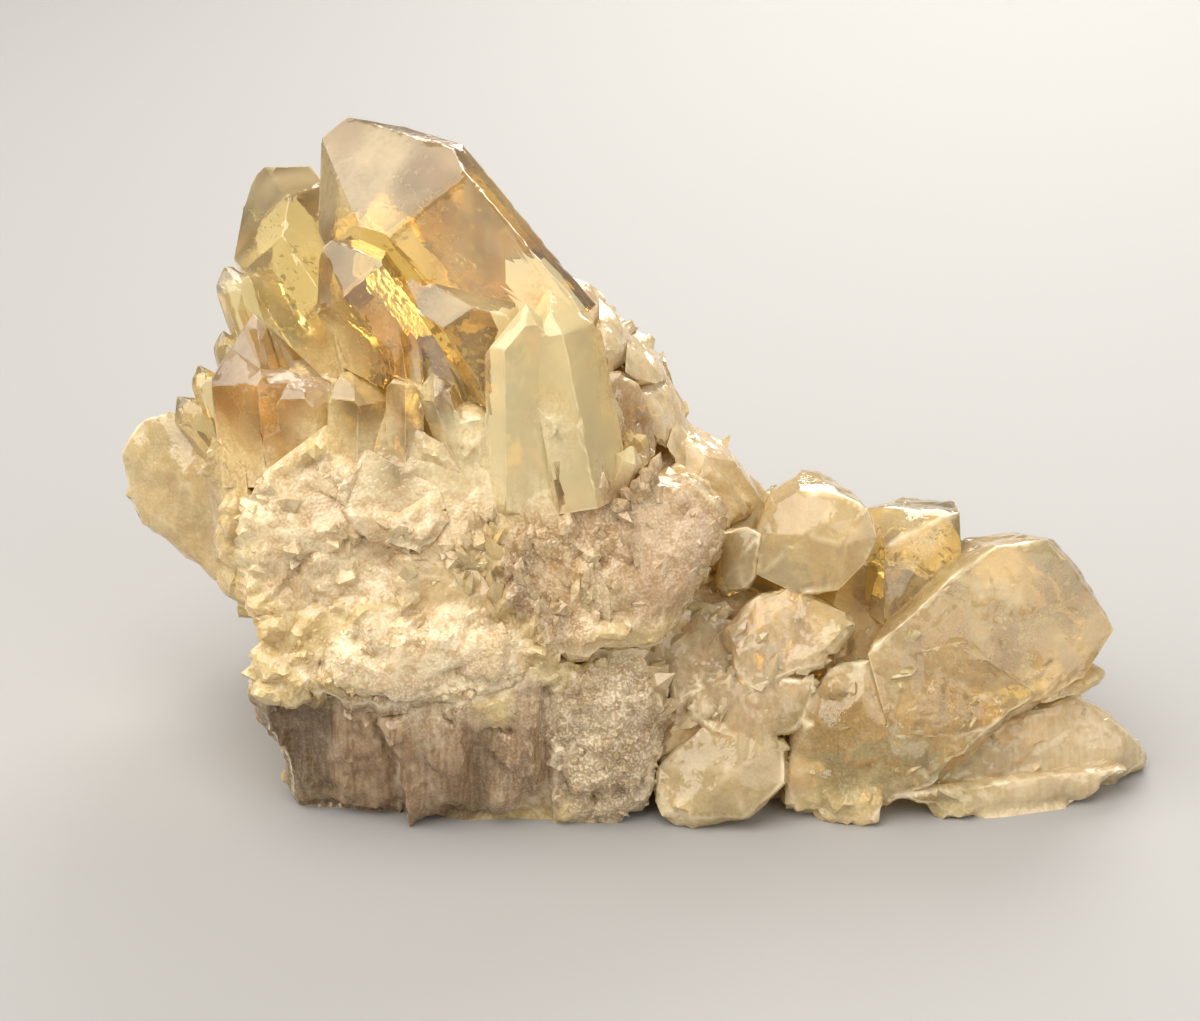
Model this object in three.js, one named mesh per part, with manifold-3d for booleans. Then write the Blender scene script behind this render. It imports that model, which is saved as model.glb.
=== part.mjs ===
// A citrine cluster: golden quartz crystals grown together on a root of milky quartz, one solid.
// Millimetres, +Z up. While it is modelled X runs along the length, -Y is the front and Z = 0 is the
// surface that it rests on. At the end it is moved so that its origin is the middle of its underside.

import * as THREE from "three";
import { ConvexGeometry } from "three/addons/geometries/ConvexGeometry.js";
import { mergeVertices } from "three/addons/utils/BufferGeometryUtils.js";
import { TessellateModifier } from "three/addons/modifiers/TessellateModifier.js";
import Module from "manifold-3d";

// Driving dimensions
const TIP_SLOPE = 51.8; // degrees between a tip face's outward direction and the crystal's long axis
const TIP_TO_SIDE = 0.786; // a tip face's distance for a side distance of 1, where the two meet level
const SIDE_VARIES = 0.16; // share by which the side and tip faces of a small crystal differ
const GROUND_DEPTH = 40; // how far the block that trims the underside reaches below the ground
const GROUND_HALF = 150; // half the width of that block
const ROCK_FACES = 18; // broken faces on a lump of the root
const FRONT_EDGE = 13; // longest edge on a broken piece, before it is made to undulate
const ROOT_EDGE = 21; // the same on a lump of the root
const ROCK_PASSES = 20; // times that a long edge may be halved
const ROCK_ROUGH = 0.6; // how far the surface of a lump undulates
const ROCK_TILT = 0.35; // how far the faces of a lump are turned out of an even spread
const ROCK_REACH = [0.8, 0.96]; // how far they lie from the middle, as a share of the half size
const BACK_SINK = 0.5; // how much lower the back of a broken piece lies, as a share of its depth
const WAVE_COUNT = 5; // waves that move the surface along each of the three axes
const WAVE_PITCH = [0.25, 0.85]; // radians per millimetre, slowest and fastest
const FAN_STRAY = 0.35; // how far a crystal of a fan lies out of line, as a share of its half width
const FAN_LEAN = 0.2; // how far it leans out of line
const FAN_SIZES = [0.75, 1.25]; // its half width, as a share of the fan's
const JOIN_STEP = 1e-4; // vertices closer than this are one
const SEEDS = { waves: 5, small: 100, fans: 600 }; // where each kind's random numbers start
const FAN_SEEDS = 50; // seeds set aside for each fan

// Colour and finish of the whole specimen
const HONEY = 0xd8b06a;
const GLOSS = 0.32;

// The large crystals, measured one by one. "at" is a point inside the crystal, "axis" the way that it
// points, "turn" its turn about that axis, and "sides" and "tips" are how far the six side faces and
// the six tip faces lie from the point: right, front, left, left back, back, right back.
const LARGE_CRYSTALS = [
  { // the tallest, upper left
    at: [-24.5, 0, 79.6], axis: [-0.64, 0.27, 0.72], turn: 105, root: 25,
    sides: [10.6, 11.7, 13.3, 11.9, 15, 6], tips: [10.8, 9.7, 13, 14, 11.8, 11.8],
  },
  { // behind it on the left
    at: [-46.1, 14, 71.5], axis: [-0.55, 0.51, 0.67], turn: 82.2, root: 46,
    sides: [9, 9.4, 7.9, 9, 9, 9], tips: [7.9, 5.3, 6, 5.7, 7.1, 11.8],
  },
  { // in front of the tallest
    at: [-30.7, -14, 72.3], axis: [-0.61, 0.11, 0.79], turn: 95.4, root: 32,
    sides: [5.3, 6.1, 6.8, 6.5, 7, 6.7], tips: [6.9, 7.2, 7.7, 7.3, 5.5, 9.4],
  },
  { // low and broad, middle
    at: [-16.5, -14, 66.4], axis: [-0.55, 0.16, 0.82], turn: 91.2, root: 22,
    sides: [7.5, 7.5, 7, 11, 8, 9], tips: [7, 9.1, 12, 12, 6.3, 7.1],
  },
  { // narrow and upright
    at: [-10.1, -21, 67.7], axis: [0, 0.14, 0.98], turn: 169, root: 22,
    sides: [4, 3.4, 5.2, 5, 5, 5], tips: [4.4, 5.3, 4.7, 3.9, 3.9, 3.9],
  },
  { // wide and upright, beside it
    at: [-4.8, -17, 67.2], axis: [-0.19, 0.2, 0.96], turn: 158, root: 22,
    sides: [4.4, 5, 7.3, 7, 7, 7], tips: [4, 5.4, 7.3, 5.5, 5.5, 5.5],
  },
  { // four-sided pyramid at the left front
    at: [-46.8, -14, 59.7], axis: [-0.09, 0.25, 0.97], turn: 104.5, root: 13,
    sides: [7.3, 7.5, 6.6, 8, 8, 9.2], tips: [7, 6.6, 6.3, 6.3, 6.3, 6.3],
  },
];

// Small crystals: where the point is, the way that it points, half its width and how far it reaches in
const SMALL_CRYSTALS = [
  // front row, left to right
  { point: [-41, -16.5, 66], axis: [-0.1, 0.14, 0.98], half: 4.7, root: 12 },
  { point: [-33.5, -18, 66.5], axis: [0.05, 0.14, 0.98], half: 4.4, root: 12 },
  { point: [-26.5, -20.5, 66], axis: [0.02, 0.12, 0.98], half: 2.3, root: 12 },
  { point: [-23, -21.5, 65], axis: [-0.35, 0.1, 0.93], half: 2.9, root: 11 },
  { point: [-18.5, -22, 61.5], axis: [-0.2, 0.12, 0.95], half: 2.6, root: 11 },
  { point: [-1.5, -19.5, 63.5], axis: [0.1, 0.12, 0.98], half: 1.9, root: 13 },
  { point: [-6.5, -23, 62.5], axis: [-0.1, 0.12, 0.98], half: 2.1, root: 13 },
  { point: [1.5, -17, 60], axis: [0.25, 0.15, 0.95], half: 2.6, root: 13 },
  // left edge, behind the pyramid
  { point: [-53, 4, 71], axis: [-0.3, 0.35, 0.88], half: 2.5, root: 20 },
  { point: [-50, 8, 68], axis: [-0.4, 0.3, 0.87], half: 3.2, root: 18 },
  { point: [-53.5, 0, 62.5], axis: [-0.2, 0.2, 0.95], half: 1.9, root: 18 },
  { point: [-57, -2, 58], axis: [-0.3, 0.1, 0.95], half: 1.9, root: 14 },
  { point: [-60, -4, 54], axis: [-0.5, -0.1, 0.85], half: 2.2, root: 12 },
  // small points below the upright pair
  { point: [-9.3, -28.6, 45.6], axis: [0, -0.3, 0.95], half: 1.3, root: 6 },
  { point: [-7.5, -29.2, 45.2], axis: [0.15, -0.4, 0.9], half: 1.1, root: 6 },
  { point: [-4, -29.4, 47.4], axis: [0.1, -0.3, 0.95], half: 1.5, root: 6 },
  { point: [0.5, -26, 52], axis: [0.3, -0.1, 0.95], half: 1.6, root: 9 },
  { point: [4.5, -23, 54.5], axis: [0.3, 0, 0.95], half: 1.8, root: 10 },
];

// The hidden back: crystals in fans that point up and away
const BACK_FANS = [
  { count: 5, from: [2, 16, 54], to: [24, 13, 30], axis: [0.3, 0.5, 0.8], half: 3.4, root: 11 },
  { count: 5, from: [-38, 31, 54], to: [4, 31, 50], axis: [-0.2, 0.75, 0.62], half: 5, root: 14 },
  { count: 4, from: [-34, 38.5, 38], to: [8, 37.5, 34], axis: [0, 0.93, 0.36], half: 4.2, root: 12 },
  { count: 4, from: [14, 30, 33], to: [54, 22, 17], axis: [0.15, 0.8, 0.58], half: 4.2, root: 12 },
  { count: 3, from: [-56, 20, 44], to: [-44, 32, 26], axis: [-0.7, 0.6, 0.38], half: 4, root: 12 },
];

// Smooth pieces of the right arm, each given by its corners
const STEP_CRYSTAL = [
  [40.5, -3, 36], [39, 0, 34.5], [45, 6, 33.5], [52, 2, 34.5], [51.5, -8, 37.5], [49, -9, 37],
  [40.5, -12.5, 34], [52, -10.5, 29], [40.5, -16.5, 23.5], [52, -14, 18], [38, -13, 24], [52, 2, 24],
  [40, 4, 22],
];
const PLATE_CRYSTAL = [
  [37.5, -25, 23.5], [50, -17.6, 32], [56.5, -14.5, 35.5], [63.5, -13, 35.5], [66.5, -14.5, 33],
  [70.5, -16.5, 27.5], [73, -18.5, 24], [69, -22, 19], [62, -25, 16], [50.5, -29, 12.5],
  [40.5, -30.5, 13.5], [53, -4, 31.5], [60, -3, 32], [65, -5, 32], [69, -7, 27.5], [71, -8, 21],
  [64, -2, 15], [46, 2, 24], [44, -4, 14], [60, -2, 28],
];
const PLATE_TOOTH = [
  [64, -20.5, 19.5], [70, -19.5, 19], [72, -20, 17.4], [69, -21.5, 15.6], [62, -24, 14.6],
  [64, -12, 18], [70, -14, 16.5], [66, -14, 13],
];

// Broken pieces: "front" holds the corners of the face that is seen, and the piece runs back from it
// by "deep" while it shrinks to the share "taper" and sinks by the share "sink" of its depth. "rough"
// is how far its surface undulates.
const BROKEN_PIECES = [
  { // the frosted round crystal of the right arm
    front: [
      [22, -16.5, 38.5], [24.5, -15, 42], [28, -14.5, 44], [34.5, -15.5, 43.8], [37.5, -16.5, 42],
      [39, -18.5, 38.5], [37.5, -20, 35], [33.5, -21, 31.5], [28, -20.5, 30.5], [22, -19, 33],
      [29, -19.8, 39.5], [34, -20.2, 38],
    ],
    crown: [[24, -9.5, 41.6], [26, -6.5, 42.2], [28.5, -4, 42.6], [31.5, -4, 42.2], [35.5, -7.5, 41]],
    deep: 20, taper: 0.85, rough: 0.25,
  },
  { // the smaller one at its left
    front: [
      [17, -16.5, 36], [17.8, -16, 38.3], [20.5, -16.5, 39.3], [22.6, -17.5, 39], [21.5, -19, 33],
      [20, -19.5, 31], [17, -18.5, 30.5], [19.6, -19, 35.5],
    ],
    deep: 12, taper: 0.9, rough: 0.2,
  },
  { // the low pointed end of the arm
    front: [
      [54.5, -25, 11], [63, -21, 13.3], [69, -18.8, 13.8], [75, -17.8, 9.6], [77.5, -18.2, 6.3],
      [80.2, -17.6, 4.3], [79.6, -18.2, 2.3], [74.5, -20.8, -0.3], [70.5, -22, -0.6], [51, -28, 1.5],
      [44, -30, 4], [66, -22.6, 8],
    ],
    deep: 14, taper: 0.7, rough: 0.4,
  },
  { // the plate that shows under it
    front: [
      [42, -31.8, 4.6], [50, -31, 1.2], [57, -30, -0.6], [65.5, -28, -0.2], [76, -24, 4.2],
      [65, -27.5, 6],
    ],
    deep: 14, taper: 0.8, rough: 0.25,
  },
  { // the golden shoulder between the plate and the low end
    front: [
      [28, -26.8, 17], [35, -24.5, 22], [50.5, -23.5, 24], [61, -26, 18], [54, -28.8, 12.5],
      [49, -30, 8], [46.5, -31, 5.6], [38, -31.8, 3.5], [35, -32.5, 1.4], [26.5, -32.5, 1.6],
      [26, -31, 6], [27, -29, 11.5], [40, -29.6, 13],
    ],
    deep: 24, taper: 0.85, rough: 0.5,
  },
  { // fan-shaped ledge under the round crystal
    front: [
      [17, -23, 26], [22, -20.5, 29.8], [26.5, -19.8, 31], [35, -21.5, 28.2], [36.4, -22.5, 27],
      [32.5, -25, 23.2], [26, -25.7, 22], [21, -28, 19.3], [19, -26.8, 21.5],
    ],
    deep: 12, taper: 0.8, rough: 0.3,
  },
  { // the ledge below the fan
    front: [
      [13.5, -25, 20.5], [20, -26.5, 20.5], [31, -26.2, 20.5], [29.5, -29, 14.5], [22, -30, 12.6],
      [15, -29.5, 13.5], [12, -28, 15.5],
    ],
    deep: 14, taper: 0.8, rough: 0.4,
  },
  { // low front lump, right of the notch
    front: [
      [8, -30, 8.5], [14, -28, 13.4], [20.5, -27.6, 15.4], [27, -30.5, 11.8], [26, -33, 6.6],
      [20.5, -34.5, 2], [11, -33.5, 2.4], [8.6, -31.5, 5], [18, -33, 9.4],
    ],
    deep: 18, taper: 0.8, rough: 0.4,
  },
  { // plates that climb from the notch to the round crystal
    front: [
      [6.5, -28.5, 8], [7.5, -22.5, 24], [14, -19.6, 30], [17.5, -20.5, 26], [19, -23.5, 19.5],
      [14.5, -26.5, 12.5],
    ],
    deep: 16, taper: 0.8, rough: 0.5,
  },
  { // the rounded crystal low at the back left
    front: [
      [-66.5, 1.5, 48.5], [-62, 0, 50], [-57.5, -2.5, 48], [-53.5, -5, 43], [-51, -9.5, 30.5],
      [-51, -10.5, 25], [-56.5, -8, 27], [-57.5, -7.5, 29.6], [-66.5, -2.5, 33.6], [-68.5, -1, 37],
      [-69.2, 1, 43], [-60, -6, 42], [-62, -5.4, 34.5],
    ],
    deep: 20, taper: 0.75, rough: 0.35,
  },
  { // shoulder under the pyramid
    front: [
      [-53.1, -20, 54.6], [-51.5, -21.8, 53.9], [-48.4, -23.5, 51.7], [-48.3, -25.2, 44.3],
      [-48.8, -25, 36.6], [-49.9, -22, 31.7], [-53.6, -16, 29.8], [-55.2, -14.5, 36.2],
      [-55.3, -15.5, 47.5],
    ],
    deep: 16, taper: 0.85, rough: 0.4,
  },
  { // broken milky front of the left block, down to the pale ledge
    front: [
      [-48.7, -28, 40], [-48, -25.5, 49], [-45.5, -24.6, 52.2], [-37, -22.8, 57.2], [-28.5, -21.8, 59],
      [-23.5, -23, 56.6], [-18, -24.6, 52.6], [-9.5, -26.8, 48], [-5.5, -29.5, 39], [-5, -32.5, 29],
      [-9, -33.6, 25.4], [-14, -34.2, 23.5], [-25, -35.4, 21.2], [-37, -34.4, 22.3],
      [-46.5, -32.8, 23.6], [-48.7, -30, 33], [-30, -31.6, 36],
    ],
    deep: 30, taper: 0.8, rough: 0.7,
  },
  { // the raised leaf on it
    front: [
      [-37, -25.4, 53.2], [-31, -24.6, 54.8], [-22, -26.8, 49.8], [-20.5, -28.6, 46],
      [-25, -30.6, 42.6], [-31.5, -31, 43.4], [-34, -29, 48],
    ],
    deep: 8, taper: 0.7, rough: 0.3,
  },
  { // the granular mound under the leaf
    front: [
      [-37, -31.6, 33], [-30, -31, 36.5], [-22, -31.6, 36], [-13, -32.2, 32], [-12, -34.4, 25.5],
      [-24, -35.8, 22.2], [-36, -35, 23.4], [-25, -35.6, 29.5],
    ],
    deep: 10, taper: 0.7, rough: 0.45,
  },
  { // pale ledge at the left end
    front: [
      [-48.9, -30.5, 24.5], [-43, -31.8, 27.5], [-40, -34.6, 24.8], [-41, -35, 21.4],
      [-47, -33.6, 20.4],
    ],
    deep: 14, taper: 0.8, rough: 0.4,
  },
  { // left half of the foot, under the ledge
    front: [
      [-48.2, -30.4, 22], [-46, -28.6, 16], [-43.5, -27.6, 6.5], [-42.5, -27, -1], [-28.5, -28.4, -1],
      [-27.5, -31.4, 12], [-28, -33, 20], [-38, -32.6, 21.5],
    ],
    deep: 34, taper: 0.85, rough: 0.6,
  },
  { // middle of the foot
    front: [
      [-29.5, -33.2, 19.5], [-24, -33.4, 20.5], [-13, -33, 22.5], [-6, -32.4, 26], [-5, -30.2, -1],
      [-14, -30.2, -1], [-18.5, -30.4, -1], [-28, -29, 1], [-20, -32, 8],
    ],
    deep: 36, taper: 0.85, rough: 0.7,
  },
  { // pale column at the right end of the foot
    front: [
      [-5.5, -31.6, 26], [0, -30.4, 27], [7, -29.6, 26.5], [8.3, -30, 20.5], [6, -31.4, 6],
      [2, -31.4, -1], [-6.4, -31.4, -1], [-7, -33, 10], [1, -33.8, 16],
    ],
    deep: 30, taper: 0.85, rough: 0.5,
  },
  { // slope under the upright pair
    front: [
      [-18.5, -24, 53], [-10, -27, 49.4], [-2, -26.8, 49.2], [3, -25.5, 49], [5, -27.5, 41],
      [1.5, -31.4, 29], [-5.5, -32.8, 27.5], [-9, -29.8, 39], [-2.5, -29.8, 42],
    ],
    deep: 20, taper: 0.8, rough: 0.6,
  },
  { // crest, from the tallest crystal down to the arm: block under the crystal
    front: [
      [-7.5, 6, 69.5], [-1.5, 7, 66.5], [0, 7, 64.5], [0.5, 7, 63.5], [1, 3, 62.5], [0, 0, 60],
      [-2, -2, 61], [-5.5, 1, 66.5],
    ],
    deep: 12, taper: 0.8, rough: 0.15,
  },
  { // crest: yellow block
    front: [
      [0, 7, 64.5], [3, 8, 62], [4, 7.5, 60], [4.5, 5, 59], [4, 0, 57.5], [1.5, -4, 57.5],
      [0.5, -5, 61.5], [0, 0, 64],
    ],
    deep: 12, taper: 0.8, rough: 0.15,
  },
  { // crest: pale slab
    front: [
      [4, 8, 59], [6.5, 8.5, 56.5], [9.5, 8, 53.5], [10, 5, 52.5], [8, 0, 54], [5, -4, 56.5],
      [3.5, -6, 58.5], [4, 1, 59.5],
    ],
    deep: 12, taper: 0.8, rough: 0.15,
  },
  { // crest: grey see-through crystal
    front: [
      [5.5, 3, 53.5], [8, 6, 53.5], [10, 7, 52], [12.5, 7.5, 47.5], [12.5, 5, 46.5], [11.5, 0, 45],
      [9.5, -4, 45.5], [8, -6, 48], [6.5, -6, 51.5], [5.5, -4, 54],
    ],
    deep: 12, taper: 0.8, rough: 0.15,
  },
  { // crest: block with a pale rim
    front: [
      [12.5, 7, 46], [15.5, 7, 42], [15.5, 4, 42], [14, 0, 41], [12, -5, 42.5], [10.5, -6, 45],
      [9.5, -5, 46.5], [10.5, -1, 47.5],
    ],
    deep: 12, taper: 0.8, rough: 0.15,
  },
  { // crest: plate with a pale rim
    front: [
      [15, 6, 42.5], [19, 6, 39], [21.5, 5, 36], [24.5, 4, 35], [24, 1, 35], [21.5, -4, 35],
      [18, -8, 35], [17, -6, 38.5], [14.5, -4, 41.5], [14, 1, 42],
    ],
    deep: 12, taper: 0.8, rough: 0.15,
  },
  { // brown face under that rim
    front: [
      [10.5, -6, 44.5], [14.5, -5, 42.5], [17, -7, 39], [18, -10, 36], [16, -14, 37.5],
      [12.5, -14, 41.5], [10.5, -12, 44],
    ],
    deep: 14, taper: 0.8, rough: 0.3,
  },
  { // smooth brown face between the upright pair and the crest
    front: [
      [0.5, -6, 58.5], [3, -6, 58.5], [5.5, -6, 56.5], [7.5, -7, 51.5], [8, -9, 47.5],
      [5.5, -13, 46.5], [2.5, -15, 48], [0.5, -14, 51.5], [0, -10, 55.5],
    ],
    deep: 14, taper: 0.8, rough: 0.3,
  },
  { // milky dome in the middle
    front: [
      [0, -23, 49.5], [5.5, -21.5, 51.2], [12.5, -21.5, 49.4], [17.4, -23, 44.5], [16.5, -26, 40],
      [12.5, -28.6, 34.5], [7.5, -30.6, 28], [0, -31.8, 28.5], [-2.5, -29, 40], [7, -29.2, 42],
      [9, -30.6, 36],
    ],
    deep: 26, taper: 0.85, rough: 0.5,
  },
];

// Hollows that are broken out of the front: corners of the wedge that is taken away
const HOLLOWS = [
  { // dark window under the raised leaf
    front: [[-31, -34, 42], [-24, -33.6, 41.6], [-12, -33.6, 35.5], [-16, -36, 32.5], [-28, -37.6, 34]],
    deep: 5.5, taper: 0.7, rough: 0.3, sink: -0.6,
  },
  { // the notch in the underside, between the column and the right lump
    front: [[3.4, -40, -3], [8.4, -38, 7], [10.8, -40, 3], [10, -40, -3]],
    deep: 24, taper: 0.5, rough: 0.2, sink: 0,
  },
  { // the space under the arm
    front: [[30, -42, -3], [36, -42, 2.2], [44, -42, 3.6], [52, -42, 0.6], [53, -42, -3]],
    deep: 20, taper: 0.8, rough: 0.2, sink: 0,
  },
];

// The root of milky quartz behind them: the middle and the half sizes of each lump
const ROOT_LUMPS = [
  { at: [-29, -3, 32], half: [21, 22, 26], seed: 3 },
  { at: [-11, -2, 36], half: [16, 20, 24], seed: 8 },
  { at: [-38, -3, 44], half: [11, 14, 14], seed: 12 },
  { at: [-22, -4, 52], half: [16, 15, 13], seed: 14 },
  { at: [-32, -2, 11], half: [13, 18, 13], seed: 21 },
  { at: [-2, 2, 47], half: [9, 12, 11], seed: 41 },
  { at: [12, 3, 33], half: [12, 14, 12], seed: 43 },
  { at: [17, -4, 17], half: [16, 22, 15], seed: 47 },
  { at: [40, -4, 14], half: [18, 20, 13], seed: 51 },
  { at: [57, -6, 12], half: [13, 15, 10], seed: 55 },
  { at: [-22, 12, 42], half: [24, 19, 21], seed: 61 },
  { at: [-26, 18, 20], half: [22, 20, 21], seed: 65 },
  { at: [-4, 18, 22], half: [20, 20, 24], seed: 67 },
  { at: [-46, 8, 32], half: [13, 16, 15], seed: 69 },
  { at: [22, 14, 13], half: [20, 16, 14], seed: 71 },
  { at: [46, 8, 11], half: [18, 14, 11], seed: 73 },
];

const wasm = await Module();
wasm.setup();

// Random numbers from 0 to 1 that are the same every time for the same seed.
function randomFrom(seed) {
  let state = seed * 2654435761;
  return () => {
    state = (state + 0x6d2b79f5) | 0;
    let mixed = Math.imul(state ^ (state >>> 15), 1 | state);
    mixed = (mixed + Math.imul(mixed ^ (mixed >>> 7), 61 | mixed)) ^ mixed;
    return ((mixed ^ (mixed >>> 14)) >>> 0) / 4294967296;
  };
}

// A random number from the first value to the second.
function between([least, most], random) {
  return least + (most - least) * random();
}

// A closed three.js geometry as a solid that can be joined and cut.
function solidOf(geometry) {
  const bare = new THREE.BufferGeometry();
  bare.setAttribute("position", geometry.getAttribute("position"));
  if (geometry.index) bare.setIndex(geometry.index);
  const merged = mergeVertices(bare, JOIN_STEP);
  return new wasm.Manifold(
    new wasm.Mesh({
      numProp: 3,
      vertProperties: new Float32Array(merged.attributes.position.array),
      triVerts: new Uint32Array(merged.index.array),
    }),
  );
}

// A solid with flat faces that wraps the given corners.
function hull(corners) {
  return solidOf(new ConvexGeometry(corners.map((c) => new THREE.Vector3(...c))));
}

// The corners where three planes meet and that no other plane cuts away.
function cornersOf(planes) {
  const corners = [];
  const eachThree = (use) => {
    for (let i = 0; i < planes.length; i += 1)
      for (let j = i + 1; j < planes.length; j += 1)
        for (let k = j + 1; k < planes.length; k += 1) use(planes[i], planes[j], planes[k]);
  };
  eachThree((a, b, c) => {
    const bc = b.normal.clone().cross(c.normal);
    const volume = a.normal.dot(bc);
    if (Math.abs(volume) < 1e-6) return;
    const corner = bc.multiplyScalar(a.reach);
    corner.addScaledVector(c.normal.clone().cross(a.normal), b.reach);
    corner.addScaledVector(a.normal.clone().cross(b.normal), c.reach);
    corner.divideScalar(volume);
    if (planes.every((p) => p.normal.dot(corner) < p.reach + 1e-5)) corners.push(corner);
  });
  return corners;
}

// One quartz crystal: six side faces, six tip faces above them at the same turns, and a flat root.
function crystal({ at, axis, turn, sides, tips, root }) {
  const along = new THREE.Vector3(...axis).normalize();
  const across = new THREE.Vector3(0, 0, 1).cross(along);
  if (across.length() < 1e-3) across.set(1, 0, 0);
  across.normalize();
  const third = along.clone().cross(across);
  const middle = new THREE.Vector3(...at);
  const slope = THREE.MathUtils.degToRad(TIP_SLOPE);
  const planes = [];
  const addFace = (normal, distance) =>
    planes.push({ normal, reach: normal.dot(middle) + distance });
  for (let k = 0; k < 6; k += 1) {
    const angle = THREE.MathUtils.degToRad(turn - 60 * k);
    const side = across.clone().multiplyScalar(Math.cos(angle));
    side.addScaledVector(third, Math.sin(angle));
    const tip = side.clone().multiplyScalar(Math.sin(slope)).addScaledVector(along, Math.cos(slope));
    addFace(side, sides[k]);
    addFace(tip, tips[k]);
  }
  addFace(along.clone().negate(), root);
  return solidOf(new ConvexGeometry(cornersOf(planes)));
}

// A small crystal whose tip is at the point given. Its faces differ a little, as natural ones do.
function smallCrystal({ point, axis, half, root }, seed) {
  const random = randomFrom(seed);
  const vary = (size) => size * (1 + SIDE_VARIES * (2 * random() - 1));
  const along = new THREE.Vector3(...axis).normalize();
  const tipHeight = (half * TIP_TO_SIDE) / Math.cos(THREE.MathUtils.degToRad(TIP_SLOPE));
  const middle = new THREE.Vector3(...point).addScaledVector(along, -tipHeight);
  return crystal({
    at: middle.toArray(),
    axis,
    turn: 60 * random(),
    sides: Array.from({ length: 6 }, () => vary(half)),
    tips: Array.from({ length: 6 }, () => vary(half * TIP_TO_SIDE)),
    root,
  });
}

// The waves by which every broken surface undulates, each with its direction, pitch and start.
const WAVES = (() => {
  const random = randomFrom(SEEDS.waves);
  return Array.from({ length: WAVE_COUNT * 3 }, () => ({
    way: anyDirection(random).multiplyScalar(between(WAVE_PITCH, random)),
    start: 2 * Math.PI * random(),
  }));
})();

// A direction with no preference.
function anyDirection(random) {
  const down = Math.acos(2 * random() - 1);
  return new THREE.Vector3().setFromSphericalCoords(1, down, 2 * Math.PI * random());
}

// A solid with flat faces made into broken quartz: finer faces, moved by waves that cross in space.
function broken(corners, edge, rough) {
  const flat = new ConvexGeometry(corners);
  const fine = new TessellateModifier(edge, ROCK_PASSES).modify(flat);
  const position = fine.getAttribute("position");
  const point = new THREE.Vector3();
  for (let i = 0; i < position.count; i += 1) {
    point.fromBufferAttribute(position, i);
    const shift = [0, 1, 2].map((axis) => {
      const own = WAVES.slice(axis * WAVE_COUNT, (axis + 1) * WAVE_COUNT);
      return (rough * own.reduce((sum, w) => sum + Math.sin(w.way.dot(point) + w.start), 0)) / 2;
    });
    position.setXYZ(i, point.x + shift[0], point.y + shift[1], point.z + shift[2]);
  }
  return solidOf(fine);
}

// A lump of the root: a ball cut by flat faces on all sides, then broken.
function lump({ at, half, seed }) {
  const random = randomFrom(seed);
  const golden = Math.PI * (3 - Math.sqrt(5));
  const planes = Array.from({ length: ROCK_FACES }, (_, i) => {
    const height = 1 - (2 * (i + 0.5)) / ROCK_FACES;
    const normal = new THREE.Vector3().setFromSphericalCoords(1, Math.acos(height), golden * i);
    normal.addScaledVector(anyDirection(random), ROCK_TILT).normalize();
    return { normal, reach: between(ROCK_REACH, random) };
  });
  const size = new THREE.Vector3(...half);
  const middle = new THREE.Vector3(...at);
  return broken(cornersOf(planes).map((c) => c.multiply(size).add(middle)), ROOT_EDGE, ROCK_ROUGH);
}

// A broken piece, from the corners of its front face to the smaller face behind it, which has half as
// many corners.
function brokenPiece({ front, crown = [], deep, taper, rough, sink = BACK_SINK }) {
  const corners = front.map((c) => new THREE.Vector3(...c));
  const middle = corners.reduce((sum, c) => sum.add(c), new THREE.Vector3());
  middle.divideScalar(corners.length);
  const behind = corners.filter((_, i) => i % 2 === 0).map((c) => {
    const back = c.clone().sub(middle).multiplyScalar(taper).add(middle);
    return back.add(new THREE.Vector3(0, deep, -deep * sink));
  });
  const top = crown.map((c) => new THREE.Vector3(...c));
  return broken([...corners, ...behind, ...top], FRONT_EDGE, rough);
}

// A row of small crystals between two places, each a little out of line and turned its own way.
function fan({ count, from, to, axis, half, root }, seed) {
  const random = randomFrom(seed);
  const stray = (size) => size * (2 * random() - 1);
  return Array.from({ length: count }, (_, i) => {
    const share = count > 1 ? i / (count - 1) : 0;
    const point = from.map((v, k) => v + (to[k] - v) * share + stray(half * FAN_STRAY));
    const lean = axis.map((v) => v + stray(FAN_LEAN));
    const size = half * between(FAN_SIZES, random);
    return smallCrystal({ point, axis: lean, half: size, root }, seed + i + 1);
  });
}

// Everything joined, cut level where it rests, as one closed solid.
function cluster() {
  const pieces = [
    ...ROOT_LUMPS.map(lump),
    ...BROKEN_PIECES.map(brokenPiece),
    ...LARGE_CRYSTALS.map(crystal),
    ...SMALL_CRYSTALS.map((small, i) => smallCrystal(small, SEEDS.small + i)),
    ...BACK_FANS.flatMap((row, i) => fan(row, SEEDS.fans + FAN_SEEDS * i)),
    ...[STEP_CRYSTAL, PLATE_CRYSTAL, PLATE_TOOTH].map(hull),
  ];
  const joined = pieces.reduce((sum, piece) => sum.add(piece));
  const ground = new THREE.BoxGeometry(2 * GROUND_HALF, 2 * GROUND_HALF, GROUND_DEPTH);
  ground.translate(0, 0, -GROUND_DEPTH / 2);
  const trims = [solidOf(ground), ...HOLLOWS.map(brokenPiece)];
  const standing = trims.reduce((rest, trim) => rest.subtract(trim), joined);
  const bodies = standing.decompose();
  return bodies.reduce((largest, body) => (body.volume() > largest.volume() ? body : largest));
}

// The solid as a three.js geometry, moved so that its origin is the middle of its underside.
function geometryOf(solid) {
  const mesh = solid.getMesh();
  const geometry = new THREE.BufferGeometry();
  geometry.setAttribute("position", new THREE.BufferAttribute(mesh.vertProperties, 3));
  geometry.setIndex(new THREE.BufferAttribute(mesh.triVerts, 1));
  geometry.computeBoundingBox();
  const middle = geometry.boundingBox.getCenter(new THREE.Vector3());
  geometry.translate(-middle.x, -middle.y, -geometry.boundingBox.min.z);
  return geometry;
}

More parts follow.
